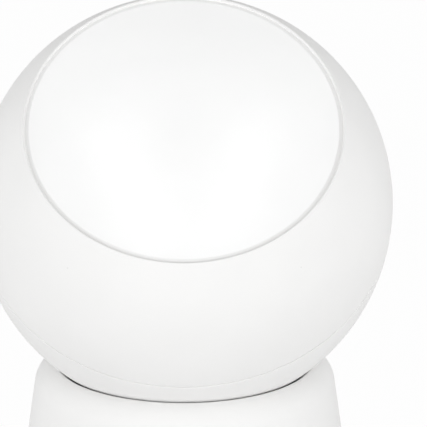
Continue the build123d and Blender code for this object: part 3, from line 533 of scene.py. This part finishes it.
def woven(name, dark, light, thread, coordinates_name=None):
    """Plain weave on the piece's own map or its coordinates; the cross of two sets of waves."""
    finish, tree, shader, coordinates = new_finish(name, 0.9)
    if coordinates_name:
        own_map = tree.nodes.new("ShaderNodeUVMap")
        own_map.uv_map = coordinates_name
        coordinates = own_map.outputs["UV"]
    crossing = [waves(tree, coordinates, direction, 2 * thread, 0.4) for direction in ("X", "Y")]
    height = reckoned(tree, "MULTIPLY", *crossing)
    tree.links.new(mixed(tree, height, dark, light), shader.inputs["Base Color"])
    relief(tree, shader, height, 0.15 * mm)
    return finish


dressed(woven("spider_cloth", (0.3, 0.22, 0.1), (0.55, 0.42, 0.22), 0.35 * mm), "driver_spider")

# ---- Main board, its parts and the small screws ---------------------------------------------------
# A round green board on the enclosure's posts carries the processor, the amplifier, coils and
# capacitors. The same small screws hold this board, the driver and the switch board.
board_thickness, board_top = 1.6, 54.8
board_screw = 0.9
switch_board_depth = 9.0
post_x, post_heights = 6.6, (78.5, 69.5)
driver_screw_angles, driver_screw_circle, driver_flange = (0, 90, 180, 270), 31.0, 18.5
board_screw_angles, board_screw_circle = (30, 150, 210, 330), 42.0


def circuit_board(name):
    """Glass-fibre board under green varnish, with the copper tracks just showing."""
    finish, tree, shader, coordinates = new_finish(name, 0.35)
    tracks = tree.nodes.new("ShaderNodeTexVoronoi")
    tracks.distance = "MANHATTAN"
    tracks.inputs["Scale"].default_value = 1 / (4 * mm)
    tree.links.new(coordinates, tracks.inputs["Vector"])
    steps = reckoned(tree, "PINGPONG", tracks.outputs["Distance"], 0.12)
    copper = spread(tree, steps, 0.05, 0.07, 0, 1)
    green = mixed(tree, copper, (0.008, 0.075, 0.03), (0.02, 0.16, 0.06))
    tree.links.new(green, shader.inputs["Base Color"])
    relief(tree, shader, copper, 0.03 * mm)
    return finish


def rear_wall(height):
    """Place on the outside of the rear wall, upright axis out of the wall."""
    outside = Matrix.Translation((0, wall_radius(height), height))
    return outside @ Matrix.Rotation(wall_lean - pi / 2, 4, "X")


green_board = circuit_board("green_circuit_board")
chip_epoxy = moulded("black_chip_epoxy", (0.02, 0.02, 0.022), 0.45, grain=0.12 * mm, cloud=0.2)
dressed(green_board, "main_board")
dressed(chip_epoxy, "board_parts")
board_posts = [
    rear_wall(height) @ Matrix.Translation((x, 0, 0))
    for height in post_heights
    for x in (-post_x, post_x)
]
small_places = on_circle(board_screw_angles, board_screw_circle, board_top)
driver_places = on_circle(driver_screw_angles, driver_screw_circle, driver_flange)
small_places += [place @ upside_down for place in driver_places]
behind = Matrix.Translation((0, 0, -switch_board_depth - board_thickness)) @ upside_down
small_places += [place @ behind for place in board_posts]
screws = repeated("small_screw_set", pan_screw(board_screw, 3.5, 1.7, 1.0), small_places, zinc)
fitted(screws, zinc, "base", "steel", "small_screws")

# ---- Leads ----------------------------------------------------------------------------------------
# One round sheathed lead runs from the board up the turning axis, through the hollow post and the
# left tilt axle to the light board. Soft grey PVC, clipped along its way.
lead_pvc = moulded(
    "grey_pvc_sheath", (0.16, 0.16, 0.165), 0.5, grain=0.3 * mm, depth=0.006 * mm, cloud=0.1
)
dressed(lead_pvc, "base_cable", "neck_cable", "head_cable")

# ---- Acoustic cloth -------------------------------------------------------------------------------
# A band of dark knitted cloth, glued taut inside the grille, that keeps dust off the driver.
grille_wall, cloth_thickness = 1.6, 0.5
shell_bottom = 50.0
cloth_low, cloth_high = floor_top + 2, shell_bottom - 2
cloth_room, map_radius = 0.1, 66 * mm


def with_wall_map(piece, name):
    """Give a band round the upright axis a map in metres: along it, and up it."""
    mesh = piece.data
    own_map = mesh.uv_layers.new(name=name)
    for face in mesh.polygons:
        turn = atan2(face.center.y, face.center.x)
        for corner in face.loop_indices:
            point = mesh.vertices[mesh.loops[corner].vertex_index].co
            step = (atan2(point.y, point.x) - turn + pi) % (2 * pi) - pi
            own_map.data[corner].uv = ((turn + step) * map_radius, point.z)
    return piece


cloth_outer = [wall_radius(height) - grille_wall - cloth_room for height in (cloth_low, cloth_high)]
cloth_outline = [
    (cloth_outer[0], cloth_low),
    (cloth_outer[1], cloth_high),
    (cloth_outer[1] - cloth_thickness, cloth_high),
    (cloth_outer[0] - cloth_thickness, cloth_low),
]
cloth = with_wall_map(spun("acoustic_band", cloth_outline, 192), "weave")
dark_cloth = woven("dark_acoustic_cloth", (0.10, 0.10, 0.105), (0.28, 0.28, 0.285), 0.3 * mm, "weave")
fitted(cloth, dark_cloth, "base", "grille_cloth", "acoustic_cloth")

# ---- Grille ---------------------------------------------------------------------------------------
# White moulded band with 96 upright slots, clipped between the floor and the shell. Geometry Nodes
# set one tile, a slot with softened edges, all the way round and weld the tiles into one band.
slot_count, slot_width = 96, 1.7
slot_low, slot_high = 12.0, 43.0
grille_low, grille_high = floor_top + 0.3, shell_bottom - 0.3
slot_edge, grille_edge = 0.3, 0.35


def on_wall(turn, height, inset):
    """Point at a turn about the upright axis and a height, set in from the base's flared wall."""
    radius = wall_radius(height) - inset
    return (radius * cos(turn), radius * sin(turn), height)


def slot_tile():
    """One share of the band with its slot; rings of points run from the border to the slot."""
    half_tile, half_slot, corner_steps = pi / slot_count, slot_width / 2, 8
    slot_radius = wall_radius((slot_low + slot_high) / 2)
    ends = ((slot_high - half_slot, 0, grille_high), (slot_low + half_slot, 180, grille_low))
    border, slot = [], []
    for middle, start, edge in ends:
        for step in range(corner_steps + 1):
            turn = radians(start + 180 * step / corner_steps)
            slot.append((cos(turn), sin(turn), middle))
            reach = max(abs(cos(turn)), abs(sin(turn)))
            border_height = middle + abs(sin(turn)) / reach * (edge - middle)
            border.append((cos(turn) / reach * half_tile, border_height))

    def slot_ring(grow, inset):
        ring = []
        for across, along, middle in slot:
            turn = across * (half_slot + grow) / slot_radius
            ring.append(on_wall(turn, middle + along * (half_slot + grow), inset))
        return ring

    def border_ring(inset, edge):
        held = [min(max(height, grille_low + edge), grille_high - edge) for turn, height in border]
        return [on_wall(turn, height, inset) for (turn, _), height in zip(border, held)]

    bevel = [
        (slot_edge * (1 - sin(turn)), slot_edge * (1 - cos(turn)))
        for turn in (0, pi / 6, pi / 3, pi / 2)
    ]
    rings = [border_ring(grille_wall, 0), border_ring(grille_edge, 0)]
    rings += [border_ring(grille_edge * 0.3, grille_edge * 0.3), border_ring(0, grille_edge)]
    rings += [slot_ring(grow, inset) for grow, inset in bevel]
    rings.append(slot_ring(0, grille_wall))
    count, faces = len(slot), []
    for ring in range(len(rings)):
        other = (ring + 1) % len(rings)
        for i in range(count):
            j = (i + 1) % count
            beside_next_tile = abs(border[i][0] - border[j][0]) < 1e-9
            if ring > 2 or not beside_next_tile:
                faces.append((ring * count + i, ring * count + j, other * count + j, other * count + i))
    return solid("slot_tile", [point for ring in rings for point in ring], faces)


tile_places = on_circle([360 * i / slot_count for i in range(slot_count)], 0)
grille_white = moulded("satin_white_grille", (0.88, 0.878, 0.872), 0.6, gleam=0.22)
grille = repeated("slotted_grille", slot_tile(), tile_places, grille_white)
fitted(grille, grille_white, "base", "grille_white", "speaker_grille")

# ---- Shell of the base ----------------------------------------------------------------------------
# Shoulder and wall in one white moulding. Screws hold its four legs to the floor, three bosses carry
# the deck, and the rear has holes for the buttons and the power inlet.
shell_wall = 2.5
shoulder_middle, shoulder_round = (48.97, 87.54), 9.8
lip_face, lip_depth, lip_round = 128.0, 6.6, 0.45  # the lip's end faces the ball
leg_radius, boss_top, deck_high = 4.0, 84.0, 71.0
leg_hole_depth, deck_hole_depth = 12, 9
post_radius, post_root, post_hole_end = 1.9, -1.2, -4
wall_hole_depth, bottom_edge = 8, 0.3
deck_boss_angles, deck_boss_circle, deck_screw = (0, 180, 270), 54.5, 1.2
button_heights = {"mute": 83.0, "volume_up": 74.0, "volume_down": 65.0}
button_radius, button_gap = 3.4, 0.3
inlet_width, inlet_thickness, inlet_length, inlet_front = 8.94, 3.26, 7.3, 62.5
inlet_height, inlet_gap = board_top + inlet_thickness / 2, 0.48
inner_round = shoulder_round - shell_wall
lean = degrees(wall_lean)
lip_start = lip_face - degrees(acos((lip_depth - lip_round) / (shoulder_round - lip_round)))
lip_middle = arc(shoulder_middle, shoulder_round - lip_round, lip_start, lip_start, 1)[0]
inner_start = lip_face - degrees(acos(lip_depth / inner_round))
shell_outline = [
    *arc(
        (wall_radius(shell_bottom) - bottom_edge, shell_bottom + bottom_edge),
        bottom_edge, -90, lean, 4,
    ),
    *arc(shoulder_middle, shoulder_round, lean, lip_start, 28),
    *arc(lip_middle, lip_round, lip_start, lip_face, 5)[1:],
    *arc(shoulder_middle, inner_round, inner_start, lean, 10),
    (wall_radius(shell_bottom) - shell_wall / cos(wall_lean), shell_bottom),
]
deck_places = on_circle(deck_boss_angles, deck_boss_circle)
base_shell = spun("base_shell_moulding", shell_outline, 288)
inside_low, inside_high, inside_depth = floor_top - 1, boss_top + 1, 0.5
inside = [
    (0, inside_low),
    (wall_radius(inside_low) - inside_depth, inside_low),
    (wall_radius(inside_high) - inside_depth, inside_high),
    (0, inside_high),
]


def wall_hole(outline, height, depth, edge=0.35):
    """Tool for a hole in the rear wall; its rounded outer edge follows the wall's bend."""
    rings = [(edge * (1 - cos(turn)), edge * (sin(turn) - 1)) for turn in (0, pi / 6, pi / 3, pi / 2)]
    rings = [(0, -depth)] + rings + [(edge, edge)]
    count, points, faces = len(outline), [], []
    for number, (grow, level) in enumerate(rings):
        bend = 2 * wall_radius(height) if 0 < number < len(rings) - 1 else inf
        for i, (x, y) in enumerate(outline):
            along = Vector(outline[(i + 1) % count]) - Vector(outline[i - 1])
            out = Vector((along.y, -along.x)).normalized() * grow
            points.append(rear_wall(height) @ Vector((x + out.x, y + out.y, level - x * x / bend)))
            if number:
                below, after = (number - 1) * count, (i + 1) % count
                faces.append((below + i, below + after, below + count + after, below + count + i))
    ends = [tuple(range(count)), tuple(range(len(points) - count, len(points)))]
    return solid("wall_hole", points, faces + ends)


stand = rods(leg_places, rod_outline(leg_radius, floor_top, boss_top))
stand += rods(deck_places, rod_outline(leg_radius, deck_high, boss_top))
for column in stand:
    reshaped(column, "INTERSECT", [spun("inside", inside, 96)])
posts = rods(board_posts, rod_outline(post_radius, -switch_board_depth, post_root), 24)
reshaped(base_shell, "UNION", stand + posts)
leg_hole = rod_outline(floor_screw, floor_top - 1, floor_top + leg_hole_depth)
deck_hole = rod_outline(deck_screw, deck_high - 1, deck_high + deck_hole_depth)
tools = rods(leg_places, leg_hole, 24)
tools += rods(deck_places, deck_hole, 24)
tools += rods(board_posts, rod_outline(board_screw, -switch_board_depth - 1, post_hole_end), 16)
for height in button_heights.values():
    ring = arc((0, 0), button_radius + button_gap, 0, 360, 48)[:-1]
    tools.append(wall_hole(ring, height, wall_hole_depth))
slot = round_rectangle(
    inlet_width + 2 * inlet_gap, inlet_thickness + 2 * inlet_gap, inlet_thickness / 2 + inlet_gap - 0.01
)
tools.append(wall_hole(slot, inlet_height, wall_hole_depth))
reshaped(base_shell, "DIFFERENCE", tools)
fitted(base_shell, shell_white, "base", "shell_white", "base_shell")

# ---- Power inlet ----------------------------------------------------------------------------------
# Oval receptacle drawn from plated steel, soldered to the board's rear edge, with a black contact
# tongue inside.
inlet_place = Matrix.Translation((0, inlet_front - inlet_length, inlet_height))
inlet_place = inlet_place @ Matrix.Rotation(-pi / 2, 4, "X")
inlet_wall, well_floor = 0.3, 1
tongue_width, tongue_thickness, tongue_corner = 6.7, 0.7, 0.2
tongue_low, tongue_high = 0.7, 5.7
sleeve_outline = round_rectangle(inlet_width, inlet_thickness, inlet_thickness / 2 - 0.01)
sleeve = extruded("power_receptacle", sleeve_outline, 0, inlet_length, inlet_place)
well = round_rectangle(
    inlet_width - 2 * inlet_wall, inlet_thickness - 2 * inlet_wall, inlet_thickness / 2 - inlet_wall - 0.01
)
tongue_outline = round_rectangle(tongue_width, tongue_thickness, tongue_corner, 3)
tongue = extruded("tongue", tongue_outline, tongue_low, tongue_high, inlet_place)
reshaped(sleeve, "DIFFERENCE", [extruded("well", well, well_floor, inlet_length + 1, inlet_place)])
reshaped(sleeve, "UNION", [tongue])
fitted(sleeve, zinc, "base", "steel", "power_inlet")

# ---- Switch board and buttons ---------------------------------------------------------------------
# Three crowned white caps, each held by a flange behind the wall, press switches on a small board.
# Their signs are sunk: a ring for mute, plus and minus for volume.
dressed(green_board, "switch_board")
button_proud, button_crown, button_edge = 0.8, 0.25, 0.4
sign_depth, sign_width, sign_length = 0.18, 0.42, 2.4
plunger_radius, plunger_end = 1.2, -5.0
flange_radius, flange_low, flange_high = button_radius + 0.9, -4.0, -3.0
cap_outline = [
    (0, plunger_end),
    (plunger_radius, plunger_end),
    (plunger_radius, flange_low),
    (flange_radius, flange_low),
    (flange_radius, flange_high),
    (button_radius, flange_high),
    (button_radius, button_proud - button_edge - button_crown),
    *arc((button_radius - button_edge, button_proud - button_edge - button_crown), button_edge, 15, 80, 5),
    (button_radius * 0.5, button_proud - button_crown * 0.3),
    (0, button_proud),
]


def sign_tools(button):
    """Tools that sink the sign of this button into its cap, drawn on the cap's axis."""
    low, high = button_proud - button_crown * 0.4 - sign_depth, button_proud + 1
    bar = round_rectangle(sign_length, sign_width, sign_width / 2 - 0.01, 4)
    if button == "mute":
        radius, half = sign_length / 2 - 0.1, sign_width / 2
        ring = [(radius - half, low), (radius + half, low), (radius + half, high), (radius - half, high)]
        return [spun("ring", ring, 40, rear_wall(button_heights[button]))]
    place = rear_wall(button_heights[button])
    bars = [extruded("bar", bar, low, high, place)]
    if button == "volume_up":
        bars.append(extruded("bar", [(y, x) for x, y in bar], low, high, place))
    return bars


for button, height in button_heights.items():
    cap = spun(button + "_cap", cap_outline, 48, rear_wall(height))
    reshaped(cap, "DIFFERENCE", sign_tools(button))
    fitted(cap, shell_white, button + "_key", "shell_white", button + "_button")

# ---- Deck, neck bearing and pan drive -------------------------------------------------------------
# A black moulded deck under the shoulder carries a ball bearing with steel races, and the can motor
# whose acetal pinion turns the ring gear on the turntable.
bearing_steel = metal("ground_bearing_steel", (0.66, 0.66, 0.67), 0.2, (1, 1, 18))
motor_steel = metal("motor_can_steel", (0.55, 0.56, 0.58), 0.32, (1, 1, 10))
acetal = moulded("natural_acetal", (0.72, 0.71, 0.66), 0.38, grain=0.4 * mm, depth=0.002 * mm)
dressed(black_plastic, "bearing_deck", "turntable")
dressed(zinc, "deck_screws")
dressed(bearing_steel, "bearing_outer_race", "bearing_inner_race", "bearing_clip", "pan_motor_shaft")
dressed(acetal, "pan_gear", "pan_pinion")
dressed(motor_steel, "pan_motor")

# ---- Socket bowl ----------------------------------------------------------------------------------
# Moulded bowl under the ball, seen only through the gap round it; its pale grey is painted shade that
# darkens this gap. Three columns stand it on the deck.
bowl_inner, bowl_outer = 82.0, 84.0
bowl_rim, bowl_hole, bowl_hole_depth = 36.4, 17.5, 7
bowl_column_angles, bowl_column_circle, bowl_column_radius = (30, 150, 225), 41.0, 2.8
ball_height = ball_centre.z / mm
rim_turn = bowl_rim - 90
hole_turns = [degrees(asin(bowl_hole / radius)) - 90 for radius in (bowl_inner, bowl_outer)]
bowl_outline = arc((0, ball_height), bowl_inner, hole_turns[0], rim_turn, 24)
bowl_outline += arc((0, ball_height), bowl_outer, rim_turn, hole_turns[1], 24)
bowl = spun("socket_liner", bowl_outline, 192)
column_places = on_circle(bowl_column_angles, bowl_column_circle)
column_top = ball_height - sqrt((bowl_inner + 1) ** 2 - (bowl_column_circle + bowl_column_radius) ** 2)
column = rod_outline(bowl_column_radius, deck_high, column_top)
column_hole = rod_outline(board_screw, deck_high - 1, deck_high + bowl_hole_depth)
reshaped(bowl, "UNION", rods(column_places, column, 24))
reshaped(bowl, "DIFFERENCE", rods(column_places, column_hole, 16))
# The liner's pale grey is painted shade: it darkens the gap round the ball.
socket_grey = moulded("grey_liner_painted_shade", (0.62, 0.62, 0.625), 0.6, cloud=0.04)
fitted(bowl, socket_grey, "base", "socket_grey", "socket_bowl")

# ---- Neck post, tilt fork and tilt drive ----------------------------------------------------------
# A hollow oval post on the turntable carries the fork. Its arms hold bronze bushes for the ball's
# axles, and its motor drives the toothed sector in the ball.
bronze = metal("sintered_bronze", (0.62, 0.36, 0.16), 0.4, (10, 1, 1))
axle_steel = metal("turned_axle_steel", (0.64, 0.64, 0.66), 0.25, (16, 1, 1))
dressed(black_plastic, "neck_post", "tilt_fork")
dressed(zinc, "neck_screws")
dressed(bronze, "tilt_bushes")
dressed(motor_steel, "tilt_motor")
dressed(axle_steel, "tilt_motor_shaft", "tilt_axles")
dressed(acetal, "tilt_pinion", "tilt_sector")

# ---- Chassis of the ball --------------------------------------------------------------------------
# Round black moulding across the ball. Its ears hold the axles, and screws join it to the front
# shell and to the light board.
dressed(black_plastic, "head_chassis")
dressed(zinc, "head_screws")

# ---- Light board, lights, light box and film ------------------------------------------------------
# Warm white lights on a round green board shine through a white funnel and a diffusing film on to
# the back of the face. Geometry Nodes set one light in each of its eighteen places.
face_rise, light_board_low = 48, 36.0
face_place = Matrix.Translation((0, 0, ball_height)) @ Matrix.Rotation(radians(90 - face_rise), 4, "X")
light_board_top = light_board_low + board_thickness
light_size, light_height, light_lens = 3.5, 1.4, 1.35
light_rings = {38.0: 12, 20.0: 6}


def light():
    """Square white package with a shallow dished lens."""
    package = extruded("light", round_rectangle(light_size, light_size, 0.2, 2), 0, light_height)
    dish = [(0, light_height - 0.35), (light_lens, light_height - 0.2), (light_lens + 0.12, 2), (0, 2)]
    return reshaped(package, "DIFFERENCE", [spun("dish", dish, 20)])


light_places = []
for circle, count in light_rings.items():
    turns = [360 * (i + count / 12) / count for i in range(count)]
    light_places += [face_place @ place for place in on_circle(turns, circle, light_board_top)]
phosphor = moulded("yellow_phosphor", (0.82, 0.62, 0.08), 0.4, grain=0.2 * mm)
lights = repeated("light_set", light(), light_places, phosphor)
fitted(lights, phosphor, "head", "lamp_yellow", "lights")
dressed(green_board, "light_board", "microphones")
light_white = moulded("matt_reflector_white", (0.88, 0.88, 0.87), 0.7, grain=0.3 * mm)
dressed(light_white, "light_box", "diffuser_film")

# ---- Rear shell of the ball -----------------------------------------------------------------------
# White moulded hemisphere with a slot for the neck. Its tongue snaps into the front shell, and a
# fine seam shows between the two.
ball, ball_inner = 80.0, 77.5
seam_half, seam_edge = 0.26, 0.18
tongue_outer, tongue_inner, tongue_height, tongue_root = 77.1, 75.6, 4.0, -6.0
slot_across, slot_along, slot_corner = 29.0, 62.0, 6.0
slot_floor, slot_roof = ball_height - 120, ball_height - 40


def ball_turn(radius, height):
    """Angle above the seam of the ball's surface at a height along the face axis."""
    return degrees(asin(height / radius))


edge_turn = ball_turn(ball, seam_half + seam_edge)
seam_radius = sqrt((ball - seam_edge) ** 2 - (seam_half + seam_edge) ** 2)
rear_outline = [
    *arc((seam_radius, -seam_half - seam_edge), seam_edge, 90, 0, 4),
    *arc((0, 0), ball, -edge_turn, -90, 72)[1:-1],
    (0, -ball),
    (0, -ball_inner),
    *arc((0, 0), ball_inner, -90, ball_turn(ball_inner, tongue_root), 40)[1:],
    (tongue_inner, tongue_root),
    (tongue_inner, tongue_height),
    (tongue_outer, tongue_height),
    (tongue_outer, -seam_half),
]
rear_shell = spun("rear_ball_shell", rear_outline, 288, face_place)
slot_outline = round_rectangle(slot_across, slot_along, slot_corner)
neck_slot = extruded("neck_slot", slot_outline, slot_floor, slot_roof)
reshaped(rear_shell, "DIFFERENCE", [neck_slot])
fitted(rear_shell, shell_white, "head", "shell_white", "rear_shell")

# ---- Front shell of the ball ----------------------------------------------------------------------
# White moulded cap of the ball. A narrow sloping step inside its rounded lip surrounds the face, and a
# ledge below it carries the face. Two fine microphone ports sit below the face.
face_radius, face_front, face_thickness = 57.0, 53.2, 2.0
lip_inside, lip_rounding = 58.35, 0.6
step_outside, step_inside = 52.92, 53.17
ledge_width, ledge_thickness = 3.5, 1.7
chassis_boss_angles, chassis_boss_circle, chassis_boss_radius = (20, 160, 200, 340), 66.0, 3.5
boss_low, boss_high, boss_reach = 24.5, 47.5, 78.5
boss_screw, boss_screw_depth = 1.0, 11
port_polar, port_turn, port_radius = 58.4, 38.0, 0.22
port_start, port_flare = 70, 0.1
ledge_top = face_front - face_thickness
ledge_low = ledge_top - ledge_thickness
rounding_middle = (
    lip_inside + lip_rounding,
    sqrt((ball - lip_rounding) ** 2 - (lip_inside + lip_rounding) ** 2),
)
lip_turn = ball_turn(ball - lip_rounding, rounding_middle[1])
front_outline = [
    *arc((seam_radius, seam_half + seam_edge), seam_edge, -90, 0, 4),
    *arc((0, 0), ball, edge_turn, lip_turn, 40)[1:-1],
    *arc(rounding_middle, lip_rounding, lip_turn, 180, 8),
    (lip_inside, step_outside),
    (face_radius, step_inside),
    (face_radius, ledge_top),
    (face_radius - ledge_width, ledge_top),
    (face_radius - ledge_width, ledge_low),
    *arc((0, 0), ball_inner, ball_turn(ball_inner, ledge_low), ball_turn(ball_inner, seam_half), 24),
]
front_shell = spun("front_ball_shell", front_outline, 288, face_place)
ports = [
    face_place
    @ Matrix.Rotation(radians(side * port_turn - 90), 4, "Z")
    @ Matrix.Rotation(radians(port_polar), 4, "Y")
    for side in (-1, 1)
]
boss_places = [face_place @ place for place in on_circle(chassis_boss_angles, chassis_boss_circle)]
bosses = rods(boss_places, rod_outline(chassis_boss_radius, boss_low, boss_high), 24)
core_outline = [(0, -boss_reach), *arc((0, 0), boss_reach, -90, 90, 24)[1:-1], (0, boss_reach)]
for boss in bosses:
    reshaped(boss, "INTERSECT", [spun("ball", core_outline, 96, face_place)])
reshaped(front_shell, "UNION", bosses)
tools = rods(boss_places, rod_outline(boss_screw, boss_low - 1, boss_low + boss_screw_depth), 16)
port_hole = [
    (0, port_start),
    (port_radius, port_start),
    (port_radius, ball - port_flare),
    (port_radius + port_flare, ball + port_flare),
    (0, ball + port_flare),
]
tools += rods(ports, port_hole, 24)
reshaped(front_shell, "DIFFERENCE", tools)
fitted(front_shell, shell_white, "head", "shell_white", "front_shell")

# ---- Microphone seals -----------------------------------------------------------------------------
# White silicone plugs between the microphones and their ports, a little below the surface.
seal_radius, seal_low, seal_high = 2.4, 74.5, 77.3
nib_radius, nib_end, nib_crown = port_radius - 0.02, 79.9, 0.04
seal_outline = [
    (0, seal_low),
    (seal_radius, seal_low),
    (seal_radius, seal_high),
    (nib_radius, seal_high),
    (nib_radius, nib_end),
    (0, nib_end + nib_crown),
]
seal_rubber = moulded("white_silicone", (0.7, 0.7, 0.69), 0.6)
seals = repeated("microphone_plugs", spun("plug", seal_outline, 24), ports, seal_rubber)
fitted(seals, seal_rubber, "head", "seal_white", "microphone_seals")

# ---- Face panel -----------------------------------------------------------------------------------
# Flat white acrylic disc, polished in front, that spreads the light behind it. It lies on the front
# shell's ledge and is bonded there.
panel_radius, panel_edge = face_radius - 0.01, 0.06
flat_radius = panel_radius - 5 * panel_edge
panel_outline = [
    (0, ledge_top),
    (panel_radius, ledge_top),
    *arc((panel_radius - panel_edge, face_front - panel_edge), panel_edge, 0, 90, 4),
    *[(flat_radius * share, face_front) for share in (1.0, 0.75, 0.5, 0.25)],
    (0, face_front),
]
face_finish, tree, shader, coordinates = new_finish("polished_white_acrylic", 0.16)
haze = mottle(tree, coordinates, 30 * mm, 0, 1)
tree.links.new(mixed(tree, haze, (0.945, 0.947, 0.944), (0.96, 0.962, 0.959)), shader.inputs["Base Color"])
tree.links.new(mottle(tree, coordinates, 9 * mm, 0.1, 0.12), shader.inputs["Roughness"])
relief(tree, shader, mottle(tree, coordinates, 6 * mm, 0, 1), 0.004 * mm)
face_panel = spun("face_disc", panel_outline, 288, face_place)
fitted(face_panel, face_finish, "head", "face_white", "face_panel")
